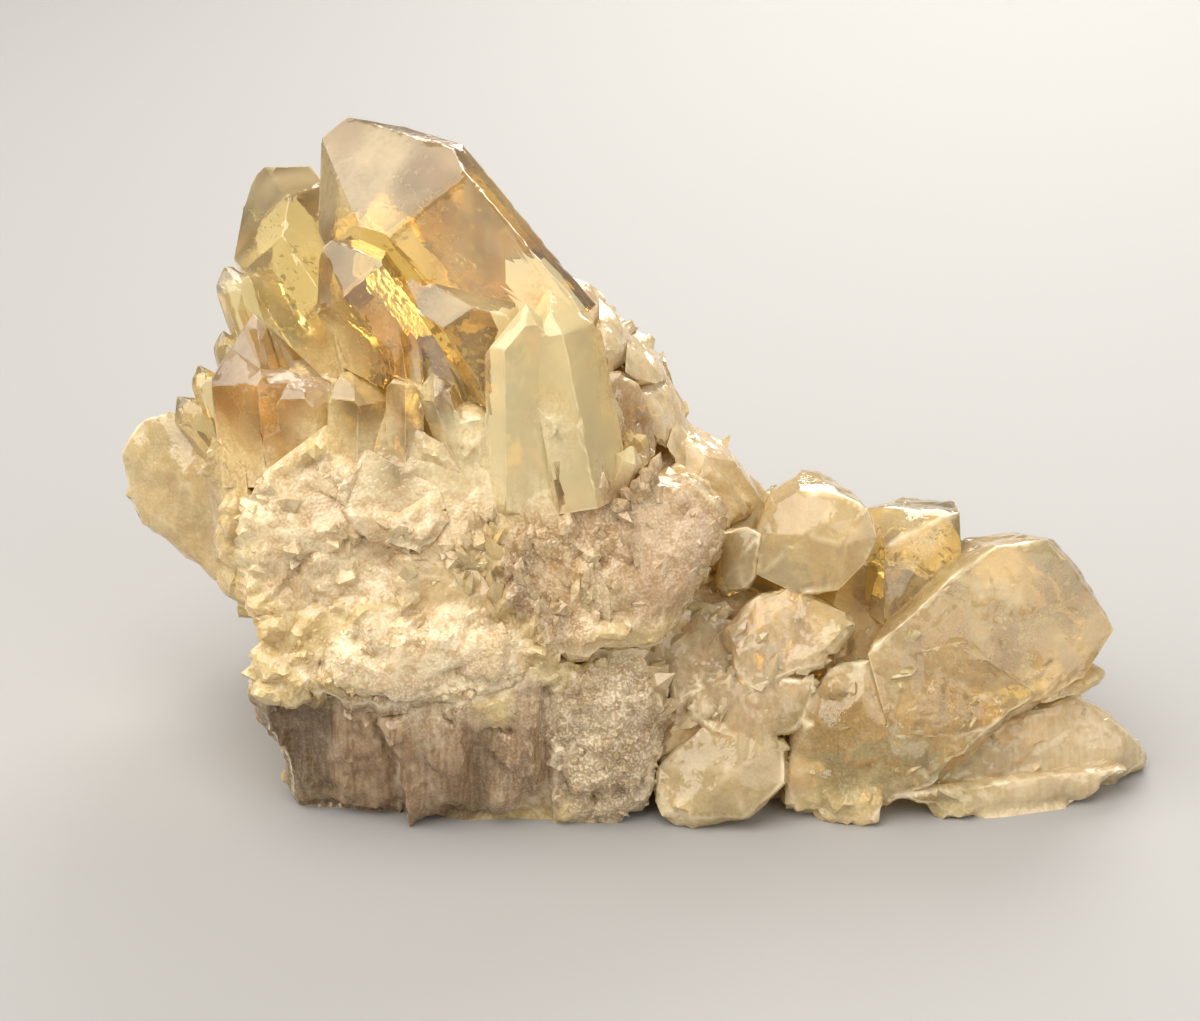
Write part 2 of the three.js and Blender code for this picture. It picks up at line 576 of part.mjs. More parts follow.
const quartz = new THREE.MeshStandardMaterial({ color: HONEY, roughness: GLOSS, metalness: 0 });
const citrine = new THREE.Mesh(geometryOf(cluster()), quartz);
citrine.name = "citrine_cluster";

const group = new THREE.Group();
group.add(citrine);

export default group;
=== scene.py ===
"""A citrine cluster: golden quartz crystals grown together on a root of milky quartz.

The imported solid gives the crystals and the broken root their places. This script gives the surface its
druse, ledges, chips and grain, its colours and its finish, and sets up the floor, the light and the camera.
"""

import logging
import math
from dataclasses import dataclass, field
from enum import Enum

import bmesh
import bpy
import numpy as np
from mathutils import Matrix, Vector, kdtree, noise
from mathutils.bvhtree import BVHTree


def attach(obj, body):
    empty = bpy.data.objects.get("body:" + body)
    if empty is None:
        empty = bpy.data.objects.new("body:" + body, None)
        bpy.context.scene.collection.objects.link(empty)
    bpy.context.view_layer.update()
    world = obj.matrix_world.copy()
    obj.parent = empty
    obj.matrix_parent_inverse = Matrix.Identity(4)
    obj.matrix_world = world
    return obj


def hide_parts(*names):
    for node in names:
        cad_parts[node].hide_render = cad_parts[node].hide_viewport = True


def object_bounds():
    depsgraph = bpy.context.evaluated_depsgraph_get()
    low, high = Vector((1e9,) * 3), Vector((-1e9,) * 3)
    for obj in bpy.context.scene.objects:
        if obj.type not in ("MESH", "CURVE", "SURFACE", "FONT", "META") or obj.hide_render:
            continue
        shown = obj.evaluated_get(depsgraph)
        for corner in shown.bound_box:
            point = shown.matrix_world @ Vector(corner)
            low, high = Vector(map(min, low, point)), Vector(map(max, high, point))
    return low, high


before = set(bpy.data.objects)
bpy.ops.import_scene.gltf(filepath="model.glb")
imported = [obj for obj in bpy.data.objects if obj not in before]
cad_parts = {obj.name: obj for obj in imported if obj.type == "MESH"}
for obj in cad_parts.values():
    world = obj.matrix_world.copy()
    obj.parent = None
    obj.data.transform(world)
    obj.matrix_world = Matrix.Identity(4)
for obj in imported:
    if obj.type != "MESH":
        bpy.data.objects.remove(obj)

CAD_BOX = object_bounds()
LOG = logging.getLogger("citrine")

NODE = "citrine_cluster"
MM = 0.001
FAR = 1e3  # millimetres, farther than anything on the specimen
SHIFT = np.array([-5.168, -2.222, 0.0])  # millimetres from the measured places to the specimen's own frame

Triple = tuple[float, float, float]
Colour = tuple[float, float, float, float]
Socket = bpy.types.NodeSocket
Shape = tuple[np.ndarray, np.ndarray]  # a small shape's corners and its triangles

EVEN = (1.0, 1.0, 1.0)  # no stretch
UPRIGHT_GROOVES = (1.0, 1.0, 0.16)  # patterns that run up and down


def smooth(low: float, high: float, value: np.ndarray) -> np.ndarray:
    """Rise from 0 at low to 1 at high without a corner.

    Args:
        low: Where the rise starts.
        high: Where it ends.
        value: The numbers to map.

    Returns:
        One share from 0 to 1 for each number.
    """
    share = np.clip((value - low) / (high - low), 0.0, 1.0)
    return share * share * (3.0 - 2.0 * share)


def unit(vectors: np.ndarray) -> np.ndarray:
    """Scale vectors, along the array's last axis, to length 1."""
    return vectors / np.maximum(np.linalg.norm(vectors, axis=-1, keepdims=True), 1e-12)


class Part(Enum):
    """What a face of the specimen is: a flat crystal face, broken quartz or the underside."""

    FACET = 0
    ROCK = 1
    BASE = 2


@dataclass(frozen=True)
class Crystal:
    """One measured crystal.

    Attributes:
        at: A point inside it, in millimetres.
        axis: The way that it points.
        half: Its half width.
        back: How far it reaches behind the point.
        ahead: How far it reaches ahead of it.
        tint: The colour of its side faces.
        tip_tint: The colour of its tip faces.
        pitted: How matt its tip faces are.
        clear: How see-through it is.
        blunt: How much of its point is broken off, in millimetres.
    """

    at: Triple
    axis: Triple
    half: float
    back: float
    ahead: float
    tint: Triple
    tip_tint: Triple
    pitted: float = 0.3
    clear: float = 0.95
    blunt: float = 0.0


AMBER = (0.96, 0.70, 0.26)
DEEP_AMBER = (0.92, 0.57, 0.18)
HONEY = (0.99, 0.87, 0.50)
PALE = (0.99, 0.88, 0.54)
SUNNY_CLEAR = (1.0, 0.85, 0.46)
BEIGE = (0.48, 0.375, 0.19)
SHEEN = (0.74, 0.57, 0.27)
UMBER = (0.72, 0.42, 0.16)
MAUVE = (0.46, 0.32, 0.18)

CRYSTALS = (
    Crystal((-24.5, 0.0, 79.6), (-0.64, 0.27, 0.72), 13.5, 40.0, 20.0, HONEY, BEIGE, 0.4),
    Crystal((-46.1, 14.0, 71.5), (-0.55, 0.51, 0.67), 9.5, 46.0, 14.0, HONEY, HONEY, 0.15),
    Crystal((-30.7, -14.0, 72.3), (-0.61, 0.11, 0.79), 7.0, 34.0, 12.0, AMBER, SHEEN, 0.25),
    Crystal((-16.5, -14.0, 66.4), (-0.55, 0.16, 0.82), 9.5, 24.0, 16.0, AMBER, SHEEN, 0.35),
    Crystal((-10.1, -21.0, 67.7), (0.0, 0.14, 0.98), 5.2, 22.0, 9.0, SUNNY_CLEAR, SUNNY_CLEAR, 0.08, 0.52),
    Crystal((-4.8, -17.0, 67.2), (-0.19, 0.2, 0.96), 7.3, 22.0, 9.0, SUNNY_CLEAR, SUNNY_CLEAR, 0.08, 0.52),
    Crystal((-46.8, -14.0, 59.7), (-0.09, 0.25, 0.97), 8.5, 18.0, 12.0, DEEP_AMBER, MAUVE, 0.5, 0.8),
    # the front row, left to right
    Crystal((-41.0, -16.5, 66.0), (-0.1, 0.14, 0.98), 5.0, 18.0, 1.0, UMBER, MAUVE, 0.6, 0.7, 4.4),
    Crystal((-33.5, -18.0, 66.5), (0.05, 0.14, 0.98), 4.7, 18.0, 1.0, AMBER, SHEEN, 0.4, 0.85, 3.4),
    Crystal((-26.5, -20.5, 66.0), (0.02, 0.12, 0.98), 2.6, 14.0, 1.0, DEEP_AMBER, SHEEN, 0.3, 0.85, 2.4),
    Crystal((-23.0, -21.5, 65.0), (-0.35, 0.1, 0.93), 3.2, 14.0, 1.0, PALE, PALE, 0.1, 0.95),
    Crystal((-18.5, -22.0, 61.5), (-0.2, 0.12, 0.95), 2.9, 14.0, 1.0, AMBER, PALE, 0.2, 0.85, 1.6),
)


@dataclass(frozen=True)
class Zone:
    """A patch of the surface with a colour and a finish of its own, fading out at its rim.

    Attributes:
        at: Its middle, in millimetres.
        radii: Its half sizes along X, Y and Z.
        tint: Its colour.
        clear: How see-through it is.
        frost: How matt and white its grain is.
        blocks: How strongly it is broken into blocks.
        grain: How coarse its fine grain is.
        stripes: How strongly it is striated, up and down.
        melt: How far its lumps run together.
        grit: How strongly it is speckled.
    """

    at: Triple
    radii: Triple
    tint: Triple
    clear: float
    frost: float
    blocks: float = 1.0
    grain: float = 1.0
    stripes: float = 0.0
    melt: float = 0.8
    grit: float = 1.0


CREAM = (0.84, 0.67, 0.42)
MILK = (0.68, 0.48, 0.29)
STRAW = (0.82, 0.62, 0.27)
GOLDEN = (0.88, 0.65, 0.33)
BROWN = (0.50, 0.31, 0.14)
PLUM = (0.12, 0.065, 0.035)
TAN = (0.42, 0.30, 0.17)
ASH = (0.50, 0.37, 0.25)
ROSY = (0.99, 0.79, 0.49)
SUNNY = (0.99, 0.81, 0.45)
BRIGHT = (0.97, 0.78, 0.42)
RIDGE = (0.42, 0.285, 0.16)
DRUSY = (0.74, 0.55, 0.31)

ZONES = (
    # the front: glossy window, granular mound, upper left, striated foot, column
    Zone((-20.0, -33.0, 37.5), (9.0, 6.0, 4.0), BRIGHT, 0.5, 0.0, 0.3, 0.3, 0.4, grit=0.35),
    Zone((-24.0, -35.0, 28.0), (14.0, 7.0, 6.5), CREAM, 0.15, 0.95, 0.8, 1.4, melt=1.0),
    Zone((-32.0, -28.0, 46.0), (16.0, 8.0, 10.0), CREAM, 0.35, 0.5, 0.6, 0.9, grit=0.8),
    Zone((-33.0, -32.0, 9.0), (21.0, 10.0, 11.0), PLUM, 0.2, 0.1, 0.4, 0.8, 1.4, 1.0, 0.35),
    Zone((-25.0, -35.0, 19.0), (5.0, 8.0, 4.5), CREAM, 0.3, 0.5, 0.4, 0.8, 1.0, 1.0, 0.8),
    Zone((-21.0, -36.0, 9.0), (5.0, 8.0, 7.0), BROWN, 0.4, 0.15, 0.4, 0.8, 1.5, 1.0, 0.4),
    Zone((-10.0, -35.0, 12.0), (5.5, 8.0, 12.0), ASH, 0.2, 0.4, 0.4, 0.9, 2.0, 1.0, 0.6),
    Zone((1.0, -32.0, 12.0), (7.5, 9.0, 14.0), TAN, 0.15, 0.75, 0.8, 1.6, 0.4, 1.0),
    # the middle: dome, druse slope, yellow ground under the upright pair
    Zone((8.0, -26.0, 41.0), (11.0, 8.0, 10.0), MILK, 0.45, 0.45, 0.35, 0.9, 0.2, 1.0, 0.7),
    Zone((-4.0, -28.0, 40.0), (7.0, 7.0, 11.0), DRUSY, 0.4, 0.4, 0.7, 1.0, 0.8),
    Zone((-14.0, -24.0, 54.0), (20.0, 7.0, 7.0), PALE, 0.4, 0.2, 0.5, 0.8, 0.4, grit=0.4),
    # the arm: round crystal, stepped crystal, plate, shoulder, low tip, lump, splinters
    Zone((29.5, -15.0, 37.5), (13.0, 14.0, 12.0), SUNNY, 0.72, 0.08, 0.03, 0.2, 0.0, 0.3, 0.1),
    Zone((46.0, -6.0, 32.0), (9.0, 16.0, 13.0), PALE, 0.9, 0.06, 0.02, 0.1, 0.0, 0.0, 0.1),
    Zone((57.0, -17.0, 25.0), (19.0, 17.0, 13.0), SUNNY, 0.85, 0.08, 0.05, 0.2, 0.0, 0.1, 0.1),
    Zone((42.0, -28.0, 12.0), (16.0, 9.0, 10.0), STRAW, 0.75, 0.12, 0.3, 0.6, 0.3, 0.9, 0.3),
    Zone((66.0, -21.0, 6.0), (16.0, 11.0, 9.0), ROSY, 0.4, 0.12, 0.15, 0.4, 0.4, 0.6, 0.2),
    Zone((18.0, -31.0, 7.0), (11.0, 9.0, 8.0), GOLDEN, 0.6, 0.12, 0.08, 0.3, 0.0, 0.15, 0.2),
    Zone((20.0, -24.0, 22.0), (13.0, 10.0, 9.0), ROSY, 0.6, 0.12, 0.35, 0.6, 0.5, 0.6, 0.25),
    # the far left crystal, the crest and the brown faces beside it
    Zone((-60.0, -3.0, 40.0), (14.0, 17.0, 18.0), SUNNY, 0.65, 0.1, 0.08, 0.3, 0.0, 0.4, 0.3),
    Zone((10.0, 2.0, 48.0), (14.0, 10.0, 16.0), ROSY, 0.35, 0.2, 0.25, 0.5, 0.0, 0.5, 0.4),
    Zone((-1.0, 3.0, 62.0), (9.0, 10.0, 11.0), ROSY, 0.35, 0.2, 0.25, 0.5, 0.0, 0.5, 0.4),
    Zone((4.0, -9.0, 53.0), (4.5, 6.0, 8.0), BROWN, 0.5, 0.15, 0.3, 0.5, 0.3, 0.5, 0.4),
    # the back: milky and brown patches
    Zone((-28.0, 32.0, 16.0), (16.0, 12.0, 12.0), MILK, 0.4, 0.4, stripes=0.6),
    Zone((-8.0, 30.0, 42.0), (14.0, 14.0, 9.0), DRUSY, 0.4, 0.4),
    Zone((22.0, 26.0, 12.0), (16.0, 14.0, 10.0), TAN, 0.3, 0.3, stripes=0.8, grit=0.6),
)
BASE_ZONE = Zone((0.0, 0.0, 0.0), (1.0, 1.0, 1.0), STRAW, 0.35, 0.4, grit=0.6)


@dataclass
class Surface:
    """The specimen's surface as arrays, in millimetres.

    Attributes:
        place: Where each vertex is.
        normal: Which way each vertex faces, smoothed over its neighbours.
        edges: The two ends of each edge.
        length: Each edge's length.
        rock: How far each vertex belongs to broken quartz, from 0 to 1.
        sharp: How sharply the faces turn outwards at each vertex, from 0 to 1.
        base: Whether each vertex belongs to the underside.
        dent: Whether each vertex lies in a hollow crease.
    """

    place: np.ndarray
    normal: np.ndarray
    edges: np.ndarray
    length: np.ndarray
    rock: np.ndarray
    sharp: np.ndarray
    base: np.ndarray
    dent: np.ndarray

    def average(self, values: np.ndarray, times: int, share: float = 0.5) -> np.ndarray:
        """Blend values at the vertices with those of their neighbours.

        Args:
            values: One value or vector for each vertex.
            times: How many times to blend.
            share: How much of a neighbour's value is taken each time.

        Returns:
            The blended values.
        """
        result = values.astype(float).copy()
        count = np.bincount(self.edges.ravel(), minlength=len(values)).astype(float)
        count = np.maximum(count, 1.0)
        wide = result.ndim > 1
        for _ in range(times):
            total = np.zeros_like(result)
            np.add.at(total, self.edges[:, 0], result[self.edges[:, 1]])
            np.add.at(total, self.edges[:, 1], result[self.edges[:, 0]])
            mean = total / (count[:, None] if wide else count)
            result += share * (mean - result)
        return result

    def distance_from(self, start: np.ndarray, steps: int) -> np.ndarray:
        """Measure how far each vertex lies from some others, along the edges.

        Args:
            start: True at the vertices to measure from.
            steps: How many edges to follow at most.

        Returns:
            A distance in millimetres for each vertex, large where it wasn't reached.
        """
        far = np.where(start, 0.0, FAR)
        for _ in range(steps):
            reach = far.copy()
            np.minimum.at(reach, self.edges[:, 0], far[self.edges[:, 1]] + self.length)
            np.minimum.at(reach, self.edges[:, 1], far[self.edges[:, 0]] + self.length)
            far = reach
        return far


@dataclass
class Skin:
    """The finished surface and its colours, for what grows on it or lies inside it.

    Attributes:
        place: Where each vertex is, in millimetres.
        normal: Which way each vertex faces.
        rock: How far each vertex belongs to broken quartz, from 0 to 1.
        base: Whether each vertex belongs to the underside.
        values: The colour and finish at each vertex.
        tree: The surface, to measure distances to.
    """

    place: np.ndarray
    normal: np.ndarray
    rock: np.ndarray
    base: np.ndarray
    values: dict[str, np.ndarray]
    tree: BVHTree

    def holds(self, point: np.ndarray, room: float) -> bool:
        """Say whether a point lies inside the surface with some room around it.

        Args:
            point: The point, in millimetres.
            room: How far it has to lie from the surface.

        Returns:
            True where it does.
        """
        place, facing, _, away = self.tree.find_nearest(Vector(point * MM))
        return away > room * MM and (Vector(point * MM) - place).dot(facing) < 0.0


def put_values(mesh: bpy.types.Mesh, name: str, values: np.ndarray) -> None:
    """Keep one value or colour for each corner of each face.

    Args:
        mesh: The mesh.
        name: What the values are called.
        values: One number or one colour for each corner.
    """
    if values.ndim > 1:
        layer = mesh.attributes.new(name, "FLOAT_COLOR", "CORNER")
        full = np.ones((len(values), 4), np.float32)
        full[:, :3] = values
        layer.data.foreach_set("color", full.ravel())
    else:
        layer = mesh.attributes.new(name, "FLOAT", "CORNER")
        layer.data.foreach_set("value", values.astype(np.float32))


def add_to_scene(name: str, data: bpy.types.ID) -> bpy.types.Object:
    """Make an object of a mesh, light or camera and put it in the scene."""
    thing = bpy.data.objects.new(name, data)
    bpy.context.scene.collection.objects.link(thing)
    return thing


@dataclass
class Druse:
    """Small blocks or crystals that stand out of broken quartz, as flat-faced bumps.

    Attributes:
        spacing: How far they lie apart, in millimetres.
        reach: Their half size, as a share of the spacing.
        faces: How many faces each has.
        upright: How far their long axes follow the surface's own direction, from 0 to 1.
        sunk: How deep their middles lie, as a share of their half size.
        seed: Where their random numbers start.
        near: How many of the nearest ones are tried at each place.
        floor: The lowest height, as a share of their half size.
        ceiling: The greatest height, as a share of their half size.
        steep: How nearly upright a face is, as a cosine, when it is left out.
    """

    spacing: float
    reach: float
    faces: int
    upright: float
    sunk: float
    seed: int
    near: int = 4
    floor: float = -0.3
    ceiling: float = 0.6
    steep: float = 0.1

    def heights(self, surface: Surface, chosen: np.ndarray) -> np.ndarray:
        """Find how far the surface is lifted to the outside of these blocks.

        Args:
            surface: The specimen's surface.
            chosen: The numbers of the vertices to lift.

        Returns:
            A height in millimetres for each chosen vertex.
        """
        random = np.random.default_rng(self.seed)
        place = surface.place[chosen]
        facing = surface.normal[chosen]
        order = random.permutation(len(chosen))
        cells = np.floor(place[order] / self.spacing).astype(np.int64)
        _, first = np.unique(cells, axis=0, return_index=True)
        seeds = order[first]
        count = len(seeds)
        spread = unit(random.normal(size=(count, self.faces, 3)))
        own = facing[seeds][:, None, :]
        ahead = np.sum(spread * own, axis=2, keepdims=True)
        spread = unit(spread + own * self.upright * np.abs(ahead))
        wide = self.spacing * self.reach * random.uniform(0.7, 1.25, size=(count, 1))
        middle = place[seeds] - facing[seeds] * wide * self.sunk
        wide = wide * random.uniform(0.75, 1.1, size=(count, self.faces))
        tree = kdtree.KDTree(count)
        for number, point in enumerate(place[seeds]):
            tree.insert(point, number)
        tree.balance()
        near = min(self.near, count)
        found = np.array([[hit[1] for hit in tree.find_n(point, near)] for point in place])
        lowest = self.floor * self.spacing * self.reach
        height = np.full(len(chosen), lowest)
        for rank in range(near):
            which = found[:, rank]
            planes = spread[which]
            gap = wide[which] - np.einsum("ij,ikj->ik", place - middle[which], planes)
            lean = np.einsum("ij,ikj->ik", facing, planes)
            up, down = lean > self.steep, lean < -self.steep
            leave = np.where(up, gap / np.maximum(lean, self.steep), FAR).min(axis=1)
            enter = np.where(down, gap / np.minimum(lean, -self.steep), -FAR).max(axis=1)
            missed = (~up & ~down & (gap < 0.0)).any(axis=1) | (enter > leave)
            height = np.maximum(height, np.where(missed, lowest, leave))
        return np.minimum(height, self.ceiling * self.spacing * self.reach)


def fractal(places: np.ndarray, pitch: float, octaves: int, seed: float) -> np.ndarray:
    """Draw cloud-like random values in space.

    Args:
        places: The points, in millimetres.
        pitch: The size of the largest cloud, in millimetres.
        octaves: How many finer layers are added.
        seed: How far the pattern is moved, so that two calls differ.

    Returns:
        One value for each point, mostly from -1 to 1.
    """
    moved = places / pitch + seed
    return np.array([noise.fractal(Vector(p), 0.9, 2.0, octaves) for p in moved])


def ridged(places: np.ndarray, pitch: float, octaves: int, seed: float) -> np.ndarray:
    """Draw random values with sharp crests.

    Args:
        places: The points, in millimetres.
        pitch: The distance between crests, in millimetres.
        octaves: How many finer layers are added.
        seed: How far the pattern is moved, so that two calls differ.

    Returns:
        One value for each point, mostly from 0 to 1.
    """
    moved = places / pitch + seed
    crests = [noise.ridged_multi_fractal(Vector(p), 1.0, 2.0, octaves, 1.0, 2.0) for p in moved]
    return np.array(crests) / 2.0


class Nodes:
    """One material's nodes, made and linked in plain steps."""

    def __init__(self, name: str) -> None:
        """Start a material without nodes."""
        self.material = bpy.data.materials.new(name)
        self.material.use_nodes = True
        self.tree = self.material.node_tree
        self.tree.nodes.clear()
        self.space = self.add("ShaderNodeTexCoord").outputs["Object"]

    def add(self, kind: str, inputs: dict | None = None, **settings: str) -> bpy.types.Node:
        """Add a node.

        Args:
            kind: Blender's name for its kind.
            inputs: A value or another node's output for each input that is used.
            settings: The node's own settings.

        Returns:
            The node.
        """
        node = self.tree.nodes.new(kind)
        for name, value in settings.items():
            setattr(node, name, value)
        for name, value in (inputs or {}).items():
            if isinstance(value, Socket):
                self.tree.links.new(value, node.inputs[name])
            else:
                node.inputs[name].default_value = value
        return node

    def read(self, name: str, output: str = "Fac") -> Socket:
        """Read one of the surface's own values."""
        return self.add("ShaderNodeAttribute", attribute_name=name).outputs[output]

    def number(self, kind: str, *values: Socket | float) -> Socket:
        """Combine two or three numbers."""
        return self.add("ShaderNodeMath", dict(enumerate(values)), operation=kind).outputs[0]

    def product(self, first: Socket, *others: Socket | float) -> Socket:
        """Multiply numbers, from left to right."""
        for other in others:
            first = self.number("MULTIPLY", first, other)
        return first

    def line(self, value: Socket, slope: float, start: float) -> Socket:
        """Scale a number and add a start to it."""
        return self.number("MULTIPLY_ADD", value, slope, start)

    def clamp(self, value: Socket) -> Socket:
        """Keep a number from 0 to 1."""
        return self.add("ShaderNodeClamp", {"Value": value}).outputs[0]

    def rise(self, value: Socket, low: float, high: float) -> Socket:
        """Rise from 0 at low to 1 at high without a corner."""
        inputs = {"Value": value, "From Min": low, "From Max": high}
        return self.add("ShaderNodeMapRange", inputs, interpolation_type="SMOOTHSTEP").outputs[0]

    def mix(self, share: Socket | float, first: Socket, second: Socket | Colour, kind: str = "MIX") -> Socket:
        """Blend two colours."""
        inputs = {0: share, 6: first, 7: second}
        return self.add("ShaderNodeMix", inputs, data_type="RGBA", blend_type=kind).outputs[2]

    def shade(self, share: Socket, ground: Socket, base: Socket, tint: Colour) -> Socket:
        """Blend a colour with a base that is darkened by a tint."""
        return self.mix(share, ground, self.mix(1.0, base, tint, "MULTIPLY"))

    def clouds(self, scale: float, detail: float, stretch: Triple) -> Socket:
        """Draw a cloud pattern in the specimen's own space.

        Args:
            scale: How many clouds there are to a metre.
            detail: How many finer layers are added.
            stretch: How much closer they lie along X, Y and Z.

        Returns:
            A number that is mostly near 0.5.
        """
        mapping = self.add("ShaderNodeMapping", {"Vector": self.space, "Scale": stretch})
        inputs = {"Vector": mapping.outputs[0], "Scale": scale, "Detail": detail, "Roughness": 0.6}
        return self.add("ShaderNodeTexNoise", inputs).outputs["Fac"]


# each cloud pattern's name, clouds to a metre, finer layers and stretch
PATTERNS = (
    ("grains", 900.0, 1.0, EVEN),
    ("specks", 2600.0, 0.0, EVEN),
    ("patches", 220.0, 2.0, EVEN),
    ("fibres", 1500.0, 0.0, (1.0, 1.0, 0.09)),
    ("veils", 120.0, 1.0, (1.0, 1.0, 0.35)),
    ("windows", 110.0, 0.0, EVEN),
)
# the numbers that the surface carries with it, beside its tint
OWN_NUMBERS = ("clear", "frost", "crust", "edge", "along", "rocky", "stripes")


@dataclass(frozen=True)
class QuartzFinish:
    """The finish of the whole specimen: clear golden quartz that turns milky where it is broken.

    Attributes:
        ior: Quartz's index of refraction.
        absorb_tint: The colour that stays after light has gone through.
        absorb_density: How quickly it takes on that colour, for each metre.
        polished: How matt a clean crystal face is.
        frosted: How much frosting adds to that.
        crusted: How much crust, worn edges and the painted highlight along the crystals' sharp edges add to
            that.
        cloud_tint: The colour of cloudy places in clear quartz.
        patch_tint: What darkens broken quartz in patches.
        fibre_tint: What darkens it along its striations.
        grain_hollow_shade_tint: The painted shade in the hollows between its raised grains.
        frost_tint: The colour of frosting.
        crust_wear_and_edge_highlight_tint: The colour of crust and worn edges, and of the painted highlight
            along the crystals' sharp edges.
        line_scale: How many growth lines cross a millimetre of a crystal.
        relief_share: How strong the fine relief is.
        relief_depth: How deep it is, in metres.
    """

    ior: float = 1.544
    absorb_tint: Colour = (0.985, 0.84, 0.30, 1.0)
    absorb_density: float = 54.0
    polished: float = 0.05
    frosted: float = 0.4
    crusted: float = 0.25
    cloud_tint: Colour = (0.95, 0.79, 0.46, 1.0)
    patch_tint: Colour = (0.82, 0.72, 0.60, 1.0)
    fibre_tint: Colour = (0.78, 0.68, 0.60, 1.0)
    grain_hollow_shade_tint: Colour = (0.84, 0.77, 0.64, 1.0)
    frost_tint: Colour = (0.98, 0.88, 0.66, 1.0)
    crust_wear_and_edge_highlight_tint: Colour = (0.93, 0.81, 0.58, 1.0)
    line_scale: float = 1.6
    relief_share: float = 0.5
    relief_depth: float = 0.0004

    def material(self, name: str, absorbs: bool) -> bpy.types.Material:
        """Build the material.

        Args:
            name: What it is called.
            absorbs: Whether light loses its blue on the way through, as in the large pieces.

        Returns:
            The finished material.
        """
        nodes = Nodes(name)
        own = self.read_surface(nodes)
        matt = nodes.line(own["grainy"], self.frosted, self.polished)
        inputs = {
            "IOR": self.ior,
            "Base Color": self.colour(nodes, own),
            "Roughness": nodes.number("ADD", matt, nodes.product(own["crusted"], self.crusted)),
            "Transmission Weight": self.see_through(nodes, own),
            "Normal": self.relief(nodes, own),
        }
        ends = {"Surface": nodes.add("ShaderNodeBsdfPrincipled", inputs).outputs[0]}
        if absorbs:
            inputs = {"Color": self.absorb_tint, "Density": self.absorb_density}
            ends["Volume"] = nodes.add("ShaderNodeVolumeAbsorption", inputs).outputs[0]
        nodes.add("ShaderNodeOutputMaterial", ends)
        return nodes.material

    def read_surface(self, nodes: Nodes) -> dict[str, Socket]:
        """Read the surface's own values and break them up into grains, specks and patches.

        Args:
            nodes: The material's nodes.

        Returns:
            The surface's values, the patterns and what they make together, by name.
        """
        own = {name: nodes.read(name) for name in OWN_NUMBERS}
        own["tint"] = nodes.read("tint", "Color")
        for name, scale, detail, stretch in PATTERNS:
            own[name] = nodes.clouds(scale, detail, stretch)
        windows = nodes.clamp(nodes.line(own["windows"], 5.0, -1.6))
        grains = nodes.line(own["grains"], 0.8, 0.4)
        own["grainy"] = nodes.product(own["frost"], grains, nodes.line(windows, 0.75, 0.25))
        speckled = nodes.product(nodes.rise(own["specks"], 0.50, 0.62), own["rocky"])
        own["sugar"] = nodes.product(speckled, nodes.line(own["grainy"], 0.7, 0.2))
        crust = nodes.clamp(nodes.product(own["crust"], nodes.line(own["patches"], 3.0, -0.9)))
        # worn, chipped crystal edges, paled also as a painted highlight along their sharp edges
        wear_and_edge_highlight = nodes.product(nodes.rise(own["edge"], 0.7, 0.95), nodes.line(own["patches"], 1.6, -0.4))
        own["crusted"] = nodes.number("MAXIMUM", crust, nodes.product(wear_and_edge_highlight, 0.6))
        return own

    def colour(self, nodes: Nodes, own: dict[str, Socket]) -> Socket:
        """Colour the surface: its own tint, cloudy, darkened, frosted, crusted and worn, with a painted
        highlight along the crystals' sharp edges.

        Args:
            nodes: The material's nodes.
            own: The surface's values by name.

        Returns:
            The colour.
        """
        tint, rocky = own["tint"], own["rocky"]
        cloudy = nodes.product(nodes.line(own["veils"], 1.1, -0.35), own["clear"])
        ground = nodes.mix(cloudy, tint, self.cloud_tint)
        patched = nodes.product(nodes.rise(own["patches"], 0.42, 0.62), rocky)
        ground = nodes.shade(patched, ground, tint, self.patch_tint)
        striated = nodes.product(nodes.rise(own["fibres"], 0.40, 0.66), own["stripes"])
        ground = nodes.shade(striated, ground, tint, self.fibre_tint)
        # painted shade in the hollows between the raised grains of the relief
        between = nodes.product(nodes.rise(own["grains"], 0.52, 0.40), rocky)
        ground = nodes.shade(between, ground, ground, self.grain_hollow_shade_tint)
        white = nodes.number("MAXIMUM", own["sugar"], nodes.product(own["grainy"], 0.3))
        # paled where crusted and worn, and by a painted highlight along the crystals' sharp edges
        return nodes.mix(own["crusted"], nodes.mix(white, ground, self.frost_tint), self.crust_wear_and_edge_highlight_tint)

    def see_through(self, nodes: Nodes, own: dict[str, Socket]) -> Socket:
        """Say how see-through the surface is: less where it is cloudy, frosted, speckled or crusted, and
        along the crystals' worn edges with their painted highlight.

        Args:
            nodes: The material's nodes.
            own: The surface's values by name.

        Returns:
            A share from 0 to 1.
        """
        cloudy, frosted = nodes.line(own["veils"], -0.5, 1.2), nodes.line(own["grainy"], -0.6, 1.0)
        speckled = nodes.number("SUBTRACT", 1.0, nodes.product(own["sugar"], 0.8))
        crusted = nodes.number("SUBTRACT", 1.0, own["crusted"])
        return nodes.clamp(nodes.product(own["clear"], cloudy, frosted, speckled, crusted))

    def relief(self, nodes: Nodes, own: dict[str, Socket]) -> Socket:
        """Raise fine grain and striations, and growth lines across the crystals.

        Args:
            nodes: The material's nodes.
            own: The surface's values by name.

        Returns:
            The direction that the surface seems to face.
        """
        inputs = {"W": own["along"], "Scale": self.line_scale, "Detail": 2.0}
        lines = nodes.add("ShaderNodeTexNoise", inputs, noise_dimensions="1D").outputs["Fac"]
        height = nodes.product(own["grains"], nodes.line(own["frost"], 0.8, 0.08))
        for layer in (
            nodes.product(lines, nodes.number("SUBTRACT", 1.0, own["frost"]), 0.5),
            nodes.product(own["specks"], own["rocky"], 0.5),
            nodes.product(own["fibres"], own["stripes"], 0.6),
        ):
            height = nodes.number("ADD", height, layer)
        inputs = {"Height": height, "Strength": self.relief_share, "Distance": self.relief_depth}
        return nodes.add("ShaderNodeBump", inputs).outputs[0]


